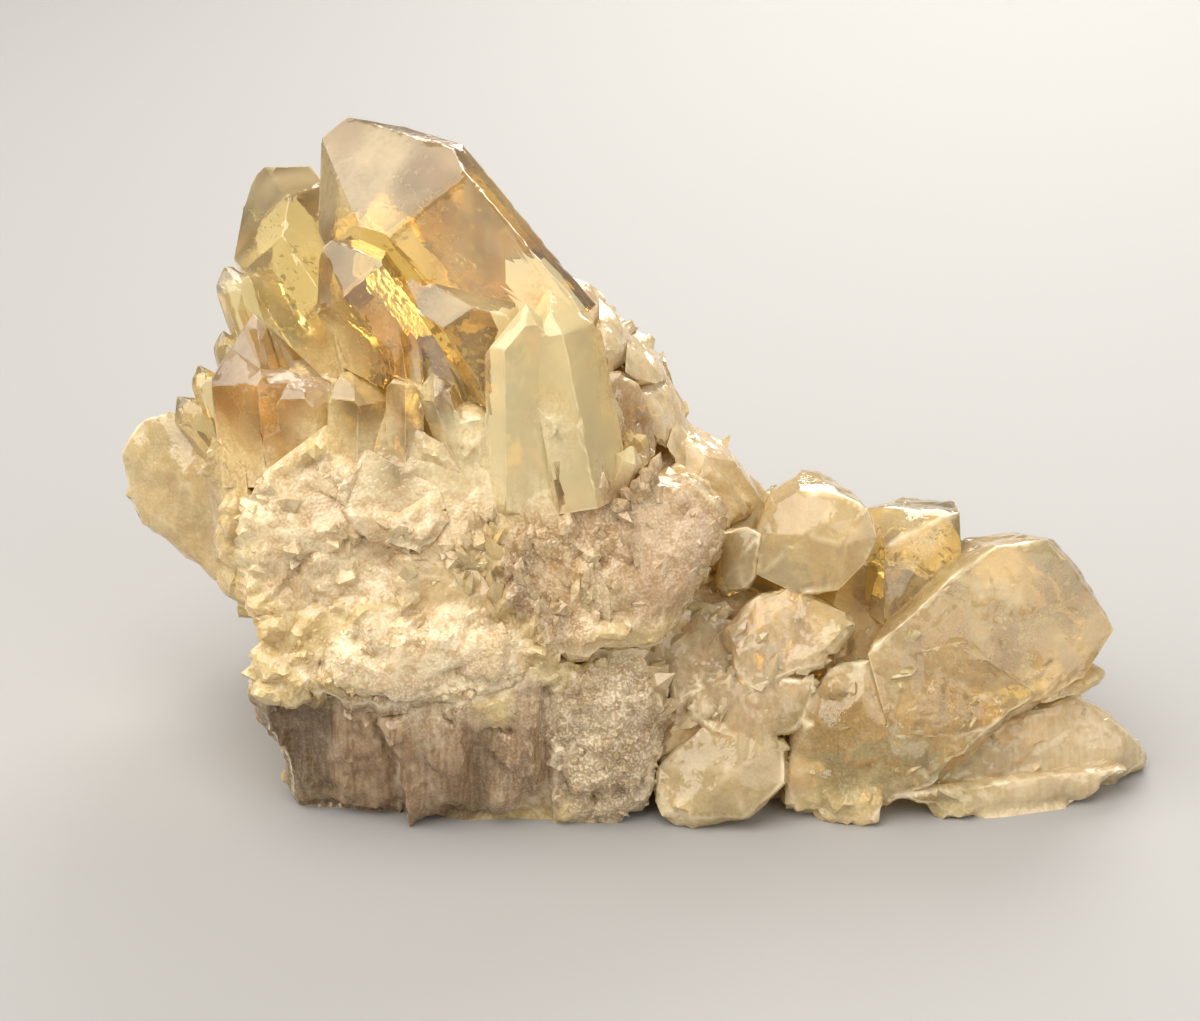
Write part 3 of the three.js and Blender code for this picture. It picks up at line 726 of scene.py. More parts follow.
@dataclass(frozen=True)
class VeilFinish:
    """The finish of the veils inside the crystals: pale flakes that let some light through.

    Attributes:
        ior: Quartz's index of refraction.
        tint: Their colour.
        clear: How see-through they are.
        rough: How matt they are.
    """

    ior: float = 1.544
    tint: Colour = (0.99, 0.91, 0.68, 1.0)
    clear: float = 0.3
    rough: float = 0.2

    def material(self) -> bpy.types.Material:
        """Build the material."""
        material = bpy.data.materials.new("citrine veils")
        material.use_nodes = True
        shader = material.node_tree.nodes["Principled BSDF"]
        shader.inputs["Base Color"].default_value = self.tint
        shader.inputs["Roughness"].default_value = self.rough
        shader.inputs["IOR"].default_value = self.ior
        shader.inputs["Transmission Weight"].default_value = self.clear
        return material


def drop_loose(bm: bmesh.types.BMesh) -> None:
    """Take out the vertices that no face uses."""
    loose = [vertex for vertex in bm.verts if not vertex.link_faces]
    bmesh.ops.delete(bm, geom=loose, context="VERTS")


@dataclass
class Specimen:
    """The whole cluster, one piece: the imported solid's surface made finer, broken, chipped and coloured.

    Attributes:
        level: How far two faces may turn, in degrees, and still be one flat face.
        crease: How far faces turn at an edge that a crystal face ends at, in degrees.
        sliver: How thin a triangle may be and still count, in millimetres.
        facet_share: How much of a flat face's rim has to be creased for it to be a crystal's.
        rock_edge: The longest edge of broken quartz at the front, in millimetres.
        back_edge: The same at the back.
        facet_edge: The longest edge inside a crystal face.
        rim_edge: The longest edge along a crystal face's rim.
        base_edge: The longest edge of the underside.
        needle: How thin a triangle may get before it is taken out, in millimetres.
        rounds: How many times edges are halved at most.
        spare: How much longer than wanted an edge may stay.
        near_rim: How much longer than at its rim edges may be just inside a crystal face.
        back_turn: How far towards +Y a face looks when it counts as turned away, as a cosine.
        back_y: Where the back starts, in metres.
        front_y: The broken front lies before this, in millimetres.
        front_top: Its top.
        arm_x: Where the low arm starts.
        arm_top: The top of the arm's broken front.
        sway: How far the zones' rims wander, in millimetres.
        plain: How much the ground's own colour counts against the zones.
        zone_rim: Where a zone starts to fade and where it ends, as shares of its half sizes.
        reach: How far from a crystal's axis its faces may lie, as a share of its half width.
        tip_turn: How far a tip face looks along the crystal, as a cosine.
        clean: How matt a crystal's side faces are.
        chip_from: How sharp an edge is, from 0 to 1, when it is worn.
        wear: How far every such edge is worn, in millimetres.
        chip_depth: How much deeper its chips are.
        chip_size: How large its chips are, in millimetres.
        break_share: How much of a broken point is taken off.
        break_slope: How steeply the break slopes.
        hollow: How far faces turn inwards at an edge that counts as a hollow crease, in degrees.
        fade: How far from a crystal face broken quartz stays as it is, in millimetres.
        shelter: How far from a hollow crease broken quartz is broken up less, in millimetres.
        melts: How many times broken quartz is smoothed before it is broken up.
        milky: How far from its root a crystal is milky, in millimetres.
        crisp: How far faces turn at an edge that is shown sharp, in degrees.
        finish: The material.
    """

    level: float = 0.25
    crease: float = 11.0
    sliver: float = 0.08
    facet_share: float = 0.7
    rock_edge: float = 0.8
    back_edge: float = 1.5
    facet_edge: float = 3.0
    rim_edge: float = 0.8
    base_edge: float = 5.0
    needle: float = 0.02
    rounds: int = 9
    spare: float = 1.45
    near_rim: float = 1.3
    back_turn: float = 0.35
    back_y: float = 0.014
    front_y: float = -8.0
    front_top: float = 44.0
    arm_x: float = 18.0
    arm_top: float = 21.0
    sway: float = 4.0
    plain: float = 0.12
    zone_rim: tuple[float, float] = (0.55, 1.25)
    reach: float = 1.3
    tip_turn: float = 0.35
    clean: float = 0.08
    chip_from: float = 0.35
    wear: float = 0.07
    chip_depth: float = 0.95
    chip_size: float = 2.4
    break_share: float = 0.85
    break_slope: float = 0.35
    hollow: float = 28.0
    fade: float = 1.1
    shelter: float = 2.4
    melts: int = 30
    milky: float = 6.0
    crisp: float = 13.0
    finish: QuartzFinish = field(default_factory=QuartzFinish)

    def build(self) -> tuple[bpy.types.Object, Skin]:
        """Make the piece.

        Returns:
            The finished object, and its surface for what grows on it.
        """
        bm = bmesh.new()
        bm.from_mesh(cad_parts[NODE].data)
        bmesh.ops.remove_doubles(bm, verts=bm.verts, dist=1e-6)
        self.sort_faces(bm)
        self.refine(bm)
        surface = self.measure(bm)
        LOG.info("surface: %d vertices, %d faces", len(bm.verts), len(bm.faces))
        values = self.dress(surface)
        self.break_up(surface, values)
        self.blunt(surface)
        self.chip(surface)
        self.hold_inside(surface)
        for vertex, place in zip(bm.verts, surface.place):
            vertex.co = place * MM
        bm.normal_update()
        tree = BVHTree.FromBMesh(bm)
        mesh = bpy.data.meshes.new("cluster_skin")
        bm.to_mesh(mesh)
        bm.free()
        self.store(mesh, surface, values)
        mesh.materials.append(self.finish.material("citrine quartz", absorbs=True))
        mesh.set_sharp_from_angle(angle=math.radians(self.crisp))
        piece = add_to_scene("cluster_skin", mesh)
        return piece, Skin(surface.place, surface.normal, surface.rock, surface.base, values, tree)

    def sort_faces(self, bm: bmesh.types.BMesh) -> None:
        """Mark each face as a crystal's, broken quartz or the underside.

        Args:
            bm: The solid's surface, one triangle for each face.
        """
        part = bm.faces.layers.int.new("part")
        patch = bm.faces.layers.int.new("patch")
        for face in bm.faces:
            face[patch] = 0
        level, crease = math.radians(self.level), math.radians(self.crease)
        number = 0
        for start in bm.faces:
            if start[patch]:
                continue
            number += 1
            start[patch] = number
            group, front = [start], [start]
            while front:
                face = front.pop()
                for edge in face.edges:
                    for other in edge.link_faces:
                        if other[patch] == 0 and other.normal.angle(start.normal, 0.0) < level:
                            other[patch] = number
                            group.append(other)
                            front.append(other)
            rim, creased = 0.0, 0.0
            for face in group:
                for edge in face.edges:
                    others = [other for other in edge.link_faces if other[patch] != number]
                    if others and not any(self.is_sliver(other) for other in others):
                        size = edge.calc_length()
                        rim += size
                        if edge.calc_face_angle(0.0) > crease:
                            creased += size
            low = max(v.co.z for face in group for v in face.verts) < 1e-5
            broken = creased <= self.facet_share * rim or self.in_broken_front(group)
            kind = Part.BASE if low else Part.ROCK if broken else Part.FACET
            for face in group:
                face[part] = kind.value

    def in_broken_front(self, group: list[bmesh.types.BMFace]) -> bool:
        """Say whether some faces lie in the broken front below the crystals, where none is a crystal's."""
        middle = sum((face.calc_center_median() for face in group), Vector()) / len(group) / MM
        top = self.front_top if middle.x < self.arm_x else self.arm_top
        return middle.y < self.front_y and middle.z < top

    def is_sliver(self, face: bmesh.types.BMFace) -> bool:
        """Say whether a face is too thin for its direction to mean anything."""
        longest = max(edge.calc_length() for edge in face.edges)
        return face.calc_area() < 0.5 * longest * self.sliver * MM

    def wanted(self, edge: bmesh.types.BMEdge, part: bmesh.types.BMLayerItem) -> float:
        """Say how long an edge may be.

        Args:
            edge: The edge.
            part: The layer that says what each face is.

        Returns:
            The longest length in millimetres.
        """
        kinds = {face[part] for face in edge.link_faces}
        if kinds == {Part.BASE.value}:
            return self.base_edge
        middle = (edge.verts[0].co + edge.verts[1].co) / 2
        turned = all(face.normal.y >= self.back_turn for face in edge.link_faces)
        seen = not turned and middle.y < self.back_y
        if Part.ROCK.value in kinds:
            return self.rock_edge if seen else self.back_edge
        rim = self.rim_edge if seen else self.back_edge
        if edge.calc_face_angle(0.0) > math.radians(self.crease):
            return rim
        near = any(
            other.calc_face_angle(0.0) > math.radians(self.crease)
            for vertex in edge.verts
            for other in vertex.link_edges
        )
        return rim * self.near_rim if near else self.facet_edge

    def refine(self, bm: bmesh.types.BMesh) -> None:
        """Halve long edges until all are short enough, and take out triangles without an area.

        Args:
            bm: The surface.
        """
        part = bm.faces.layers.int["part"]
        for _ in range(self.rounds):
            long = [e for e in bm.edges if e.calc_length() > self.spare * MM * self.wanted(e, part)]
            if not long:
                break
            bmesh.ops.subdivide_edges(bm, edges=long, cuts=1)
            self.split_wide(bm)
        bmesh.ops.dissolve_degenerate(bm, dist=self.needle * MM, edges=bm.edges)
        self.split_wide(bm)
        bmesh.ops.holes_fill(bm, edges=[e for e in bm.edges if e.is_boundary], sides=4)
        drop_loose(bm)
        bm.normal_update()

    def split_wide(self, bm: bmesh.types.BMesh) -> None:
        """Split every face with more than three corners into triangles."""
        wide = [f for f in bm.faces if len(f.verts) > 3]
        bmesh.ops.triangulate(bm, faces=wide, quad_method="SHORT_EDGE")

    def measure(self, bm: bmesh.types.BMesh) -> Surface:
        """Read the surface into arrays.

        Args:
            bm: The surface.

        Returns:
            The arrays.
        """
        part = bm.faces.layers.int["part"]
        bm.verts.index_update()
        place = np.array([v.co for v in bm.verts]) / MM
        edges = np.array([[v.index for v in e.verts] for e in bm.edges])
        length = np.array([e.calc_length() for e in bm.edges]) / MM
        turn = np.array([e.calc_face_angle_signed(0.0) for e in bm.edges])
        flat = np.zeros(len(place), bool)
        base = np.zeros(len(place), bool)
        for face in bm.faces:
            for vertex in face.verts:
                if face[part] != Part.ROCK.value:
                    flat[vertex.index] = True
                if face[part] == Part.BASE.value:
                    base[vertex.index] = True
        sharp = np.zeros(len(place))
        outward = np.clip(turn / math.radians(60.0), 0.0, 1.0)
        np.maximum.at(sharp, edges[:, 0], outward)
        np.maximum.at(sharp, edges[:, 1], outward)
        dent = np.zeros(len(place), bool)
        dent[edges[turn < -math.radians(self.hollow)].ravel()] = True
        normal = np.array([v.normal for v in bm.verts])
        surface = Surface(place, normal, edges, length, np.zeros(len(place)), sharp, base, dent)
        surface.rock = smooth(0.0, self.fade, surface.distance_from(flat, 6))
        surface.normal = unit(surface.average(normal, 4))
        return surface

    def dress(self, surface: Surface) -> dict[str, np.ndarray]:
        """Work out the colour and finish at each vertex.

        Args:
            surface: The surface.

        Returns:
            The values by name.
        """
        place = surface.place - SHIFT
        count = len(place)
        warp = np.stack([fractal(place, 14.0, 3, seed) for seed in (3.1, 17.4, 40.9)], axis=1) * self.sway
        moved = place + warp
        total = np.full(count, self.plain)
        names = ("clear", "frost", "blocks", "grain", "stripes", "melt", "grit")
        values = {name: total * getattr(BASE_ZONE, name) for name in names}
        tint = total[:, None] * np.array(BASE_ZONE.tint)
        for zone in ZONES:
            away = np.linalg.norm((moved - np.array(zone.at)) / np.array(zone.radii), axis=1)
            weight = 1.0 - smooth(*self.zone_rim, away)
            total += weight
            tint += weight[:, None] * np.array(zone.tint)
            for name in names:
                values[name] += weight * getattr(zone, name)
        for name in names:
            values[name] /= total
        tint /= total[:, None]

        rough = fractal(place, 5.0, 4, 8.8)
        folds = fractal(place * np.array([1.0, 1.0, 0.22]) + warp * 0.4, 8.0, 2, 2.2)
        values["folds"] = folds
        ridge = (smooth(0.05, 0.5, folds) * np.clip(values["stripes"], 0.0, 1.0))[:, None]
        values["tint"] = tint + (np.array(RIDGE) - tint) * ridge
        values["crust"] = np.clip(surface.sharp + rough * 0.5 - 0.15, 0.0, 1.0) * surface.rock
        # how sharp the crystal faces' edges are, for their wear and their painted highlight
        values["edge"] = surface.sharp * (1.0 - surface.rock)
        return values

    def dress_facets(self, centre: np.ndarray, facing: np.ndarray) -> dict[str, np.ndarray]:
        """Work out the colour and finish of each crystal face from the crystal that it is on.

        Args:
            centre: The middle of each face, in millimetres, in the measured places' frame.
            facing: Which way each face looks.

        Returns:
            The values by name.
        """
        count = len(centre)
        best = np.full(count, self.reach)
        values = {
            "clear": np.full(count, 0.9),
            "frost": np.full(count, 0.06),
            "along": centre[:, 2].copy(),
            "tint": np.tile(np.array(PALE), (count, 1)),
        }
        for crystal in CRYSTALS:
            axis = unit(np.array(crystal.axis))
            offset = centre - np.array(crystal.at)
            height = offset @ axis
            radial = np.linalg.norm(offset - height[:, None] * axis, axis=1) / crystal.half
            inside = (radial < best) & (height > -crystal.back) & (height < crystal.ahead + 3.0)
            best = np.where(inside, radial, best)
            tip = facing @ axis > self.tip_turn
            own = {
                "clear": np.where(tip, crystal.clear * (1.0 - 0.35 * crystal.pitted), crystal.clear),
                "frost": np.where(tip, crystal.pitted, self.clean),
                "along": height,
                "tint": np.where(tip[:, None], np.array(crystal.tip_tint), np.array(crystal.tint)),
            }
            for name, value in own.items():
                chosen = inside[:, None] if value.ndim > 1 else inside
                values[name] = np.where(chosen, value, values[name])
        return values

    def break_up(self, surface: Surface, values: dict[str, np.ndarray]) -> None:
        """Give broken quartz its blocks, ledges, striations and grain.

        Args:
            surface: The surface, whose vertices are moved.
            values: The finish at each vertex.
        """
        soft = surface.average(surface.place, self.melts)
        share = (surface.rock * values["melt"] * ~surface.base)[:, None]
        surface.place += (soft - surface.place) * share
        chosen = np.flatnonzero((surface.rock > 0.01) & ~surface.base)
        place = surface.place[chosen]
        coarse = Druse(6.0, 0.62, faces=12, upright=0.6, sunk=0.7, seed=11).heights(surface, chosen)
        fine = Druse(2.6, 0.6, faces=10, upright=0.8, sunk=0.6, seed=12).heights(surface, chosen)
        across = place * np.array(UPRIGHT_GROOVES)
        stripes = ridged(across, 2.2, 2, 5.5) - 0.5 + 3.0 * values["folds"][chosen]
        grain = fractal(place, 1.8, 3, 21.0)
        swell = fractal(place, 9.0, 2, 33.0)
        height = (
            values["blocks"][chosen] * (0.75 * coarse + 0.6 * fine)
            + values["stripes"][chosen] * 0.8 * stripes
            + values["grain"][chosen] * 0.22 * grain
            + 0.5 * swell
        )
        free = 0.2 + 0.8 * smooth(0.0, self.shelter, surface.distance_from(surface.dent, 5))
        height = height * (surface.rock * free)[chosen]
        surface.place[chosen] += surface.normal[chosen] * height[:, None]

    def chip(self, surface: Surface) -> None:
        """Wear the crystals' sharp edges and knock small chips out of them.

        Args:
            surface: The surface, whose vertices are moved.
        """
        chosen = np.flatnonzero((surface.sharp > self.chip_from) & ~surface.base)
        place = surface.place[chosen]
        bites = np.clip(fractal(place, self.chip_size, 3, 51.0) - 0.25, 0.0, 1.0)
        depth = surface.sharp[chosen] * (self.wear + self.chip_depth * bites)
        surface.place[chosen] -= surface.normal[chosen] * depth[:, None]

    def blunt(self, surface: Surface) -> None:
        """Break the points off the crystals that have lost theirs.

        Args:
            surface: The surface, whose vertices are moved.
        """
        for crystal in CRYSTALS:
            if crystal.blunt == 0.0:
                continue
            axis = unit(np.array(crystal.axis))
            offset = surface.place - SHIFT - np.array(crystal.at)
            height = offset @ axis
            radial = np.linalg.norm(offset - height[:, None] * axis, axis=1)
            slope = self.break_slope * (offset @ np.cross(axis, (0.3, 0.9, 0.2)))
            top = -crystal.blunt + slope
            broken = np.flatnonzero((radial < 1.25 * crystal.half) & (height > top) & (height < 1.5))
            drop = self.break_share * (height - top)[broken]
            surface.place[broken] -= drop[:, None] * axis

    def hold_inside(self, surface: Surface) -> None:
        """Keep every vertex inside the solid's box.

        Args:
            surface: The surface, whose vertices are moved.
        """
        low, high = (np.array(corner) / MM for corner in CAD_BOX)
        surface.place[:] = np.clip(surface.place, low, high)

    def store(self, mesh: bpy.types.Mesh, surface: Surface, values: dict[str, np.ndarray]) -> None:
        """Keep the colour and finish with the mesh, for each corner of each face.

        Args:
            mesh: The mesh.
            surface: The surface.
            values: The values at each vertex.
        """
        count = len(mesh.polygons)
        corner = np.empty(len(mesh.loops), np.int32)
        mesh.loops.foreach_get("vertex_index", corner)
        part = np.empty(count, np.int32)
        mesh.attributes["part"].data.foreach_get("value", part)
        facing = np.empty(count * 3, np.float32)
        mesh.polygons.foreach_get("normal", facing)
        triangles = surface.place[corner].reshape(-1, 3, 3)
        facet = self.dress_facets(triangles.mean(axis=1) - SHIFT, facing.reshape(-1, 3))
        ends = np.zeros(len(surface.place), bool)
        ends[corner.reshape(-1, 3)[part == Part.ROCK.value].ravel()] = True
        share = smooth(0.0, self.milky, surface.distance_from(ends, 8))[corner]
        share *= np.repeat(part == Part.FACET.value, 3)
        facet["rocky"] = np.zeros(count)
        facet["stripes"] = np.zeros(count)
        values["rocky"] = values["grit"]
        for name in ("clear", "frost", "crust", "edge", "along", "tint", "rocky", "stripes"):
            own = values[name][corner] if name in values else np.repeat(facet[name], 3, axis=0)
            if name in facet and name in values:
                weight = share[:, None] if own.ndim > 1 else share
                own = own + (np.repeat(facet[name], 3, axis=0) - own) * weight
            put_values(mesh, name, own)
        for name in ("part", "patch"):
            mesh.attributes.remove(mesh.attributes[name])


@dataclass(frozen=True)
class Growth:
    """Many small blocks or points of one kind on one patch of the surface.

    Attributes:
        at: The middle of the patch, in millimetres.
        radii: Its half sizes along X, Y and Z.
        count: How many there are.
        low: The smallest one's width.
        high: The largest one's width.
        stretch: Their length for a width of 1.
        upright: How far they stand square to the surface, from 0 to 1.
        lean: A direction that they all lean towards.
        points: Whether they are crystal points, not blocks.
        sunk: How much of their length lies inside the surface.
    """

    at: Triple
    radii: Triple
    count: int
    low: float
    high: float
    stretch: float = 1.0
    upright: float = 0.6
    lean: Triple = (0.0, 0.0, 0.0)
    points: bool = False
    sunk: float = 0.6


GROWTHS = (
    # the granular mound and the ledge below it
    Growth((-26.0, -35.0, 27.0), (17.0, 8.0, 8.0), 340, 0.5, 1.5, 1.0, 0.6, sunk=0.8),
    # the front mass above and beside the mound
    Growth((-32.0, -28.0, 44.0), (20.0, 10.0, 12.0), 70, 1.0, 4.2, 1.2, sunk=0.9),
    Growth((-8.0, -28.0, 40.0), (12.0, 9.0, 13.0), 120, 0.8, 2.8, 2.2, 0.3, (0.0, -0.2, 1.0), sunk=0.8),
    # the column
    Growth((1.0, -33.0, 12.0), (9.0, 9.0, 14.0), 170, 0.6, 1.9, 1.6, 0.4, (0.0, 0.0, 0.7), sunk=0.8),
    # the druse under the crest
    Growth((-2.0, -22.0, 52.0), (10.0, 10.0, 8.0), 110, 0.8, 2.4, 1.8, 0.5, (0.0, 0.0, 0.6), True),
    # the milky dome
    Growth((9.0, -28.0, 38.0), (12.0, 9.0, 11.0), 50, 0.8, 2.6, sunk=0.85),
    # the splinters that fan out between the column and the low arm
    Growth((15.0, -26.0, 22.0), (10.0, 10.0, 9.0), 60, 1.2, 4.4, 2.0, 0.2, (0.9, 0.0, 1.0), sunk=0.9),
    # the low arm
    Growth((40.0, -26.0, 14.0), (20.0, 12.0, 12.0), 70, 0.8, 2.8, 1.4, 0.3, (0.6, 0.0, 0.5), sunk=0.92),
    Growth((62.0, -18.0, 8.0), (18.0, 12.0, 9.0), 30, 0.7, 1.8, 1.2, 0.4, (0.6, 0.0, 0.2), sunk=0.9),
    # the back
    Growth((-10.0, 30.0, 30.0), (70.0, 20.0, 40.0), 220, 1.2, 4.0, 1.6, 0.7, (0.0, 0.0, 0.3), sunk=0.75),
)


def block(random: np.random.Generator) -> Shape:
    """Make one angular block, about 1 wide.

    Args:
        random: The random numbers.

    Returns:
        Its corners and its triangles.
    """
    bm = bmesh.new()
    bmesh.ops.create_icosphere(bm, subdivisions=1, radius=0.6)
    for vertex in bm.verts:
        vertex.co = vertex.co * random.uniform(0.62, 1.15)
    bmesh.ops.convex_hull(bm, input=bm.verts, use_existing_faces=False)
    drop_loose(bm)
    if any(len(edge.link_faces) > 2 for edge in bm.edges):
        bmesh.ops.delete(bm, geom=list(bm.faces), context="FACES_ONLY")
        bmesh.ops.convex_hull(bm, input=bm.verts, use_existing_faces=False)
    return take_arrays(bm)


def point(random: np.random.Generator) -> Shape:
    """Make one six-sided crystal with a pointed top, about 1 wide.

    Args:
        random: The random numbers.

    Returns:
        Its corners and its triangles.
    """
    bm = bmesh.new()
    bmesh.ops.create_cone(bm, cap_ends=True, cap_tris=False, segments=6, radius1=0.5, radius2=0.47, depth=1.0)
    top = max(bm.faces, key=lambda face: face.calc_center_median().z)
    bmesh.ops.poke(bm, faces=[top], offset=0.3)
    for vertex in bm.verts:
        vertex.co = vertex.co + Vector(random.uniform(-0.08, 0.08, 3))
    return take_arrays(bm)


def take_arrays(bm: bmesh.types.BMesh) -> Shape:
    """Read a small shape into arrays and free it."""
    bmesh.ops.triangulate(bm, faces=bm.faces)
    bmesh.ops.recalc_face_normals(bm, faces=bm.faces)
    bm.verts.index_update()
    corners = np.array([vertex.co for vertex in bm.verts])
    triangles = np.array([[vertex.index for vertex in face.verts] for face in bm.faces])
    bm.free()
    return corners, triangles


@dataclass
class Heap:
    """Small shapes gathered into one mesh.

    Attributes:
        places: The corners of each shape, in millimetres.
        faces: The triangles of each shape, by the corners' numbers in the heap.
        total: How many corners there are so far.
    """

    places: list[np.ndarray] = field(default_factory=list)
    faces: list[np.ndarray] = field(default_factory=list)
    total: int = 0

    def add(self, placed: np.ndarray, triangles: np.ndarray) -> None:
        """Add one shape: its corners where they lie, and its triangles."""
        self.places.append(placed)
        self.faces.append(triangles + self.total)
        self.total += len(placed)

    def mesh(self, name: str) -> bpy.types.Mesh:
        """Join the shapes in one mesh."""
        mesh = bpy.data.meshes.new(name)
        mesh.from_pydata(np.concatenate(self.places) * MM, [], np.concatenate(self.faces))
        return mesh


@dataclass
class Crumbs:
    """The small blocks, splinters and druse points on the broken quartz, joined in one piece.

    Attributes:
        name: The piece's name.
        growths: Where they grow.
        kinds: How many different shapes each kind has.
        seed: Where the random numbers start.
        broken: How far a place has to belong to broken quartz for anything to grow there.
        dimmer: How much less see-through they are than the surface below them.
        gritty: How strongly they are speckled, as a share of the surface's speckles.
    """

    name: str = "druse"
    growths: tuple[Growth, ...] = GROWTHS
    kinds: int = 7
    seed: int = 401
    broken: float = 0.6
    dimmer: float = 0.1
    gritty: float = 0.8

    def build(self, skin: Skin, finish: bpy.types.Material) -> bpy.types.Object:
        """Set the small shapes on the surface and colour them as the surface is.

        Args:
            skin: The dressed surface.
            finish: The material.

        Returns:
            The finished object.
        """
        random = np.random.default_rng(self.seed)
        blocks = [block(random) for _ in range(self.kinds)]
        points = [point(random) for _ in range(self.kinds)]
        heap, owners, tints = Heap(), [], []
        low, high = (np.array(corner) / MM for corner in CAD_BOX)
        for growth in self.growths:
            offset = skin.place - SHIFT - np.array(growth.at)
            away = np.linalg.norm(offset / np.array(growth.radii), axis=1)
            ground = np.flatnonzero((away < 1.0) & (skin.rock > self.broken) & ~skin.base)
            shapes = points if growth.points else blocks
            for vertex in random.choice(ground, growth.count) if len(ground) else ():
                shape, triangles = self.place(growth, skin, vertex, shapes, random)
                if (shape < low).any() or (shape > high).any():
                    continue
                heap.add(shape, triangles)
                owners.append(np.full(len(triangles), vertex))
                tint = np.clip(skin.values["tint"][vertex] * random.uniform(0.9, 1.1), 0.0, 1.0)
                tints.append(np.tile(tint, (len(triangles) * 3, 1)))
        mesh = heap.mesh(self.name)
        owner = np.repeat(np.concatenate(owners), 3)
        put_values(mesh, "tint", np.concatenate(tints))
        put_values(mesh, "clear", np.clip(skin.values["clear"][owner] - self.dimmer, 0.0, 1.0))
        put_values(mesh, "rocky", skin.values["grit"][owner] * self.gritty)
        for name in ("frost", "crust"):
            put_values(mesh, name, skin.values[name][owner])
        for name in ("edge", "along", "stripes"):
            put_values(mesh, name, np.zeros(len(owner)))
        mesh.materials.append(finish)
        return add_to_scene(self.name, mesh)

    def place(
        self, growth: Growth, skin: Skin, vertex: int, shapes: list[Shape], random: np.random.Generator
    ) -> Shape:
        """Turn and size one small shape and set it on the surface.

        Args:
            growth: What it belongs to.
            skin: The dressed surface.
            vertex: The number of the vertex that it stands on.
            shapes: The shapes to choose from.
            random: The random numbers.

        Returns:
            Its corners where they lie, in millimetres, and its triangles.
        """
        stray = random.normal(size=3)
        ahead = skin.normal[vertex] * growth.upright + np.array(growth.lean)
        ahead = unit(ahead + stray * (0.9 - 0.6 * growth.upright) * 0.5)
        side = unit(np.cross(ahead, random.normal(size=3)))
        turn = np.stack([side, np.cross(ahead, side), ahead])
        width = growth.low * (growth.high / growth.low) ** (random.random() ** 1.6)
        length = width * growth.stretch * random.uniform(0.8, 1.3)
        size = np.array([width, width * random.uniform(0.6, 1.0), length])
        shape, triangles = shapes[random.integers(self.kinds)]
        deep = skin.normal[vertex] * width * (growth.sunk - 0.5)
        return shape * size @ turn + skin.place[vertex] - deep, triangles


@dataclass(frozen=True)
class Veil:
    """One cloudy veil of tiny flakes inside a crystal, on a healed crack.

    Attributes:
        at: Its middle, in millimetres.
        facing: Which way the crack's flat side looks.
        radius: How far it reaches.
        count: How many flakes it has.
        high: The largest flake's width.
    """

    at: Triple
    facing: Triple
    radius: float
    count: int
    high: float = 1.4


VEILS = (
    Veil((-25.0, -2.0, 80.0), (0.5, -0.3, 0.3), 8.0, 90),
    Veil((-18.0, -2.0, 70.0), (0.7, 0.2, 0.5), 9.0, 120),
    Veil((-14.0, -4.0, 62.0), (-0.2, 0.9, 0.3), 9.0, 160),
    Veil((-46.0, 12.0, 70.0), (0.6, 0.4, 0.2), 7.0, 110),
    Veil((-42.0, 10.0, 60.0), (0.3, -0.5, 0.7), 7.0, 120),
    Veil((-31.0, -13.0, 70.0), (0.8, 0.1, 0.2), 5.0, 90),
    Veil((-27.0, -13.0, 62.0), (0.2, 0.8, 0.5), 6.0, 110),
    Veil((-15.0, -14.0, 62.0), (0.6, -0.4, 0.3), 6.0, 110),
    Veil((-10.1, -20.0, 62.0), (0.9, 0.1, 0.0), 5.0, 110),
    Veil((-9.6, -19.0, 54.0), (0.6, 0.6, 0.1), 5.0, 130),
    Veil((-4.6, -17.0, 62.0), (0.7, -0.6, 0.1), 6.0, 130),
    Veil((-4.0, -16.0, 54.0), (0.9, 0.3, 0.0), 6.0, 150),
    Veil((-46.0, -13.0, 55.0), (0.5, 0.5, 0.5), 5.0, 90),
    Veil((-9.8, -19.5, 60.0), (0.2, 0.9, 0.1), 7.0, 320),
    Veil((-4.6, -16.5, 60.0), (-0.2, 0.9, 0.1), 7.0, 340),
    Veil((-8.0, -17.0, 52.0), (0.1, 0.9, 0.3), 8.0, 220),
    Veil((-20.0, -6.0, 66.0), (0.3, 0.8, 0.4), 10.0, 170),
    # the arm
    Veil((29.5, -16.0, 37.0), (0.3, 0.9, 0.2), 8.0, 320),
    Veil((46.0, -5.0, 31.0), (0.2, 0.8, 0.5), 6.0, 120),
    Veil((54.0, -18.0, 21.0), (0.5, 0.7, -0.2), 10.0, 380),
    Veil((62.0, -14.0, 24.0), (-0.3, 0.8, 0.3), 8.0, 220),
    Veil((42.0, -24.0, 13.0), (0.4, 0.8, -0.3), 9.0, 160),
    Veil((66.0, -18.0, 7.0), (0.1, 0.6, 0.7), 9.0, 240),
    Veil((18.0, -28.0, 8.0), (0.5, 0.7, 0.2), 6.0, 110),
    Veil((-60.0, -2.0, 40.0), (0.6, 0.7, 0.2), 9.0, 260),
)


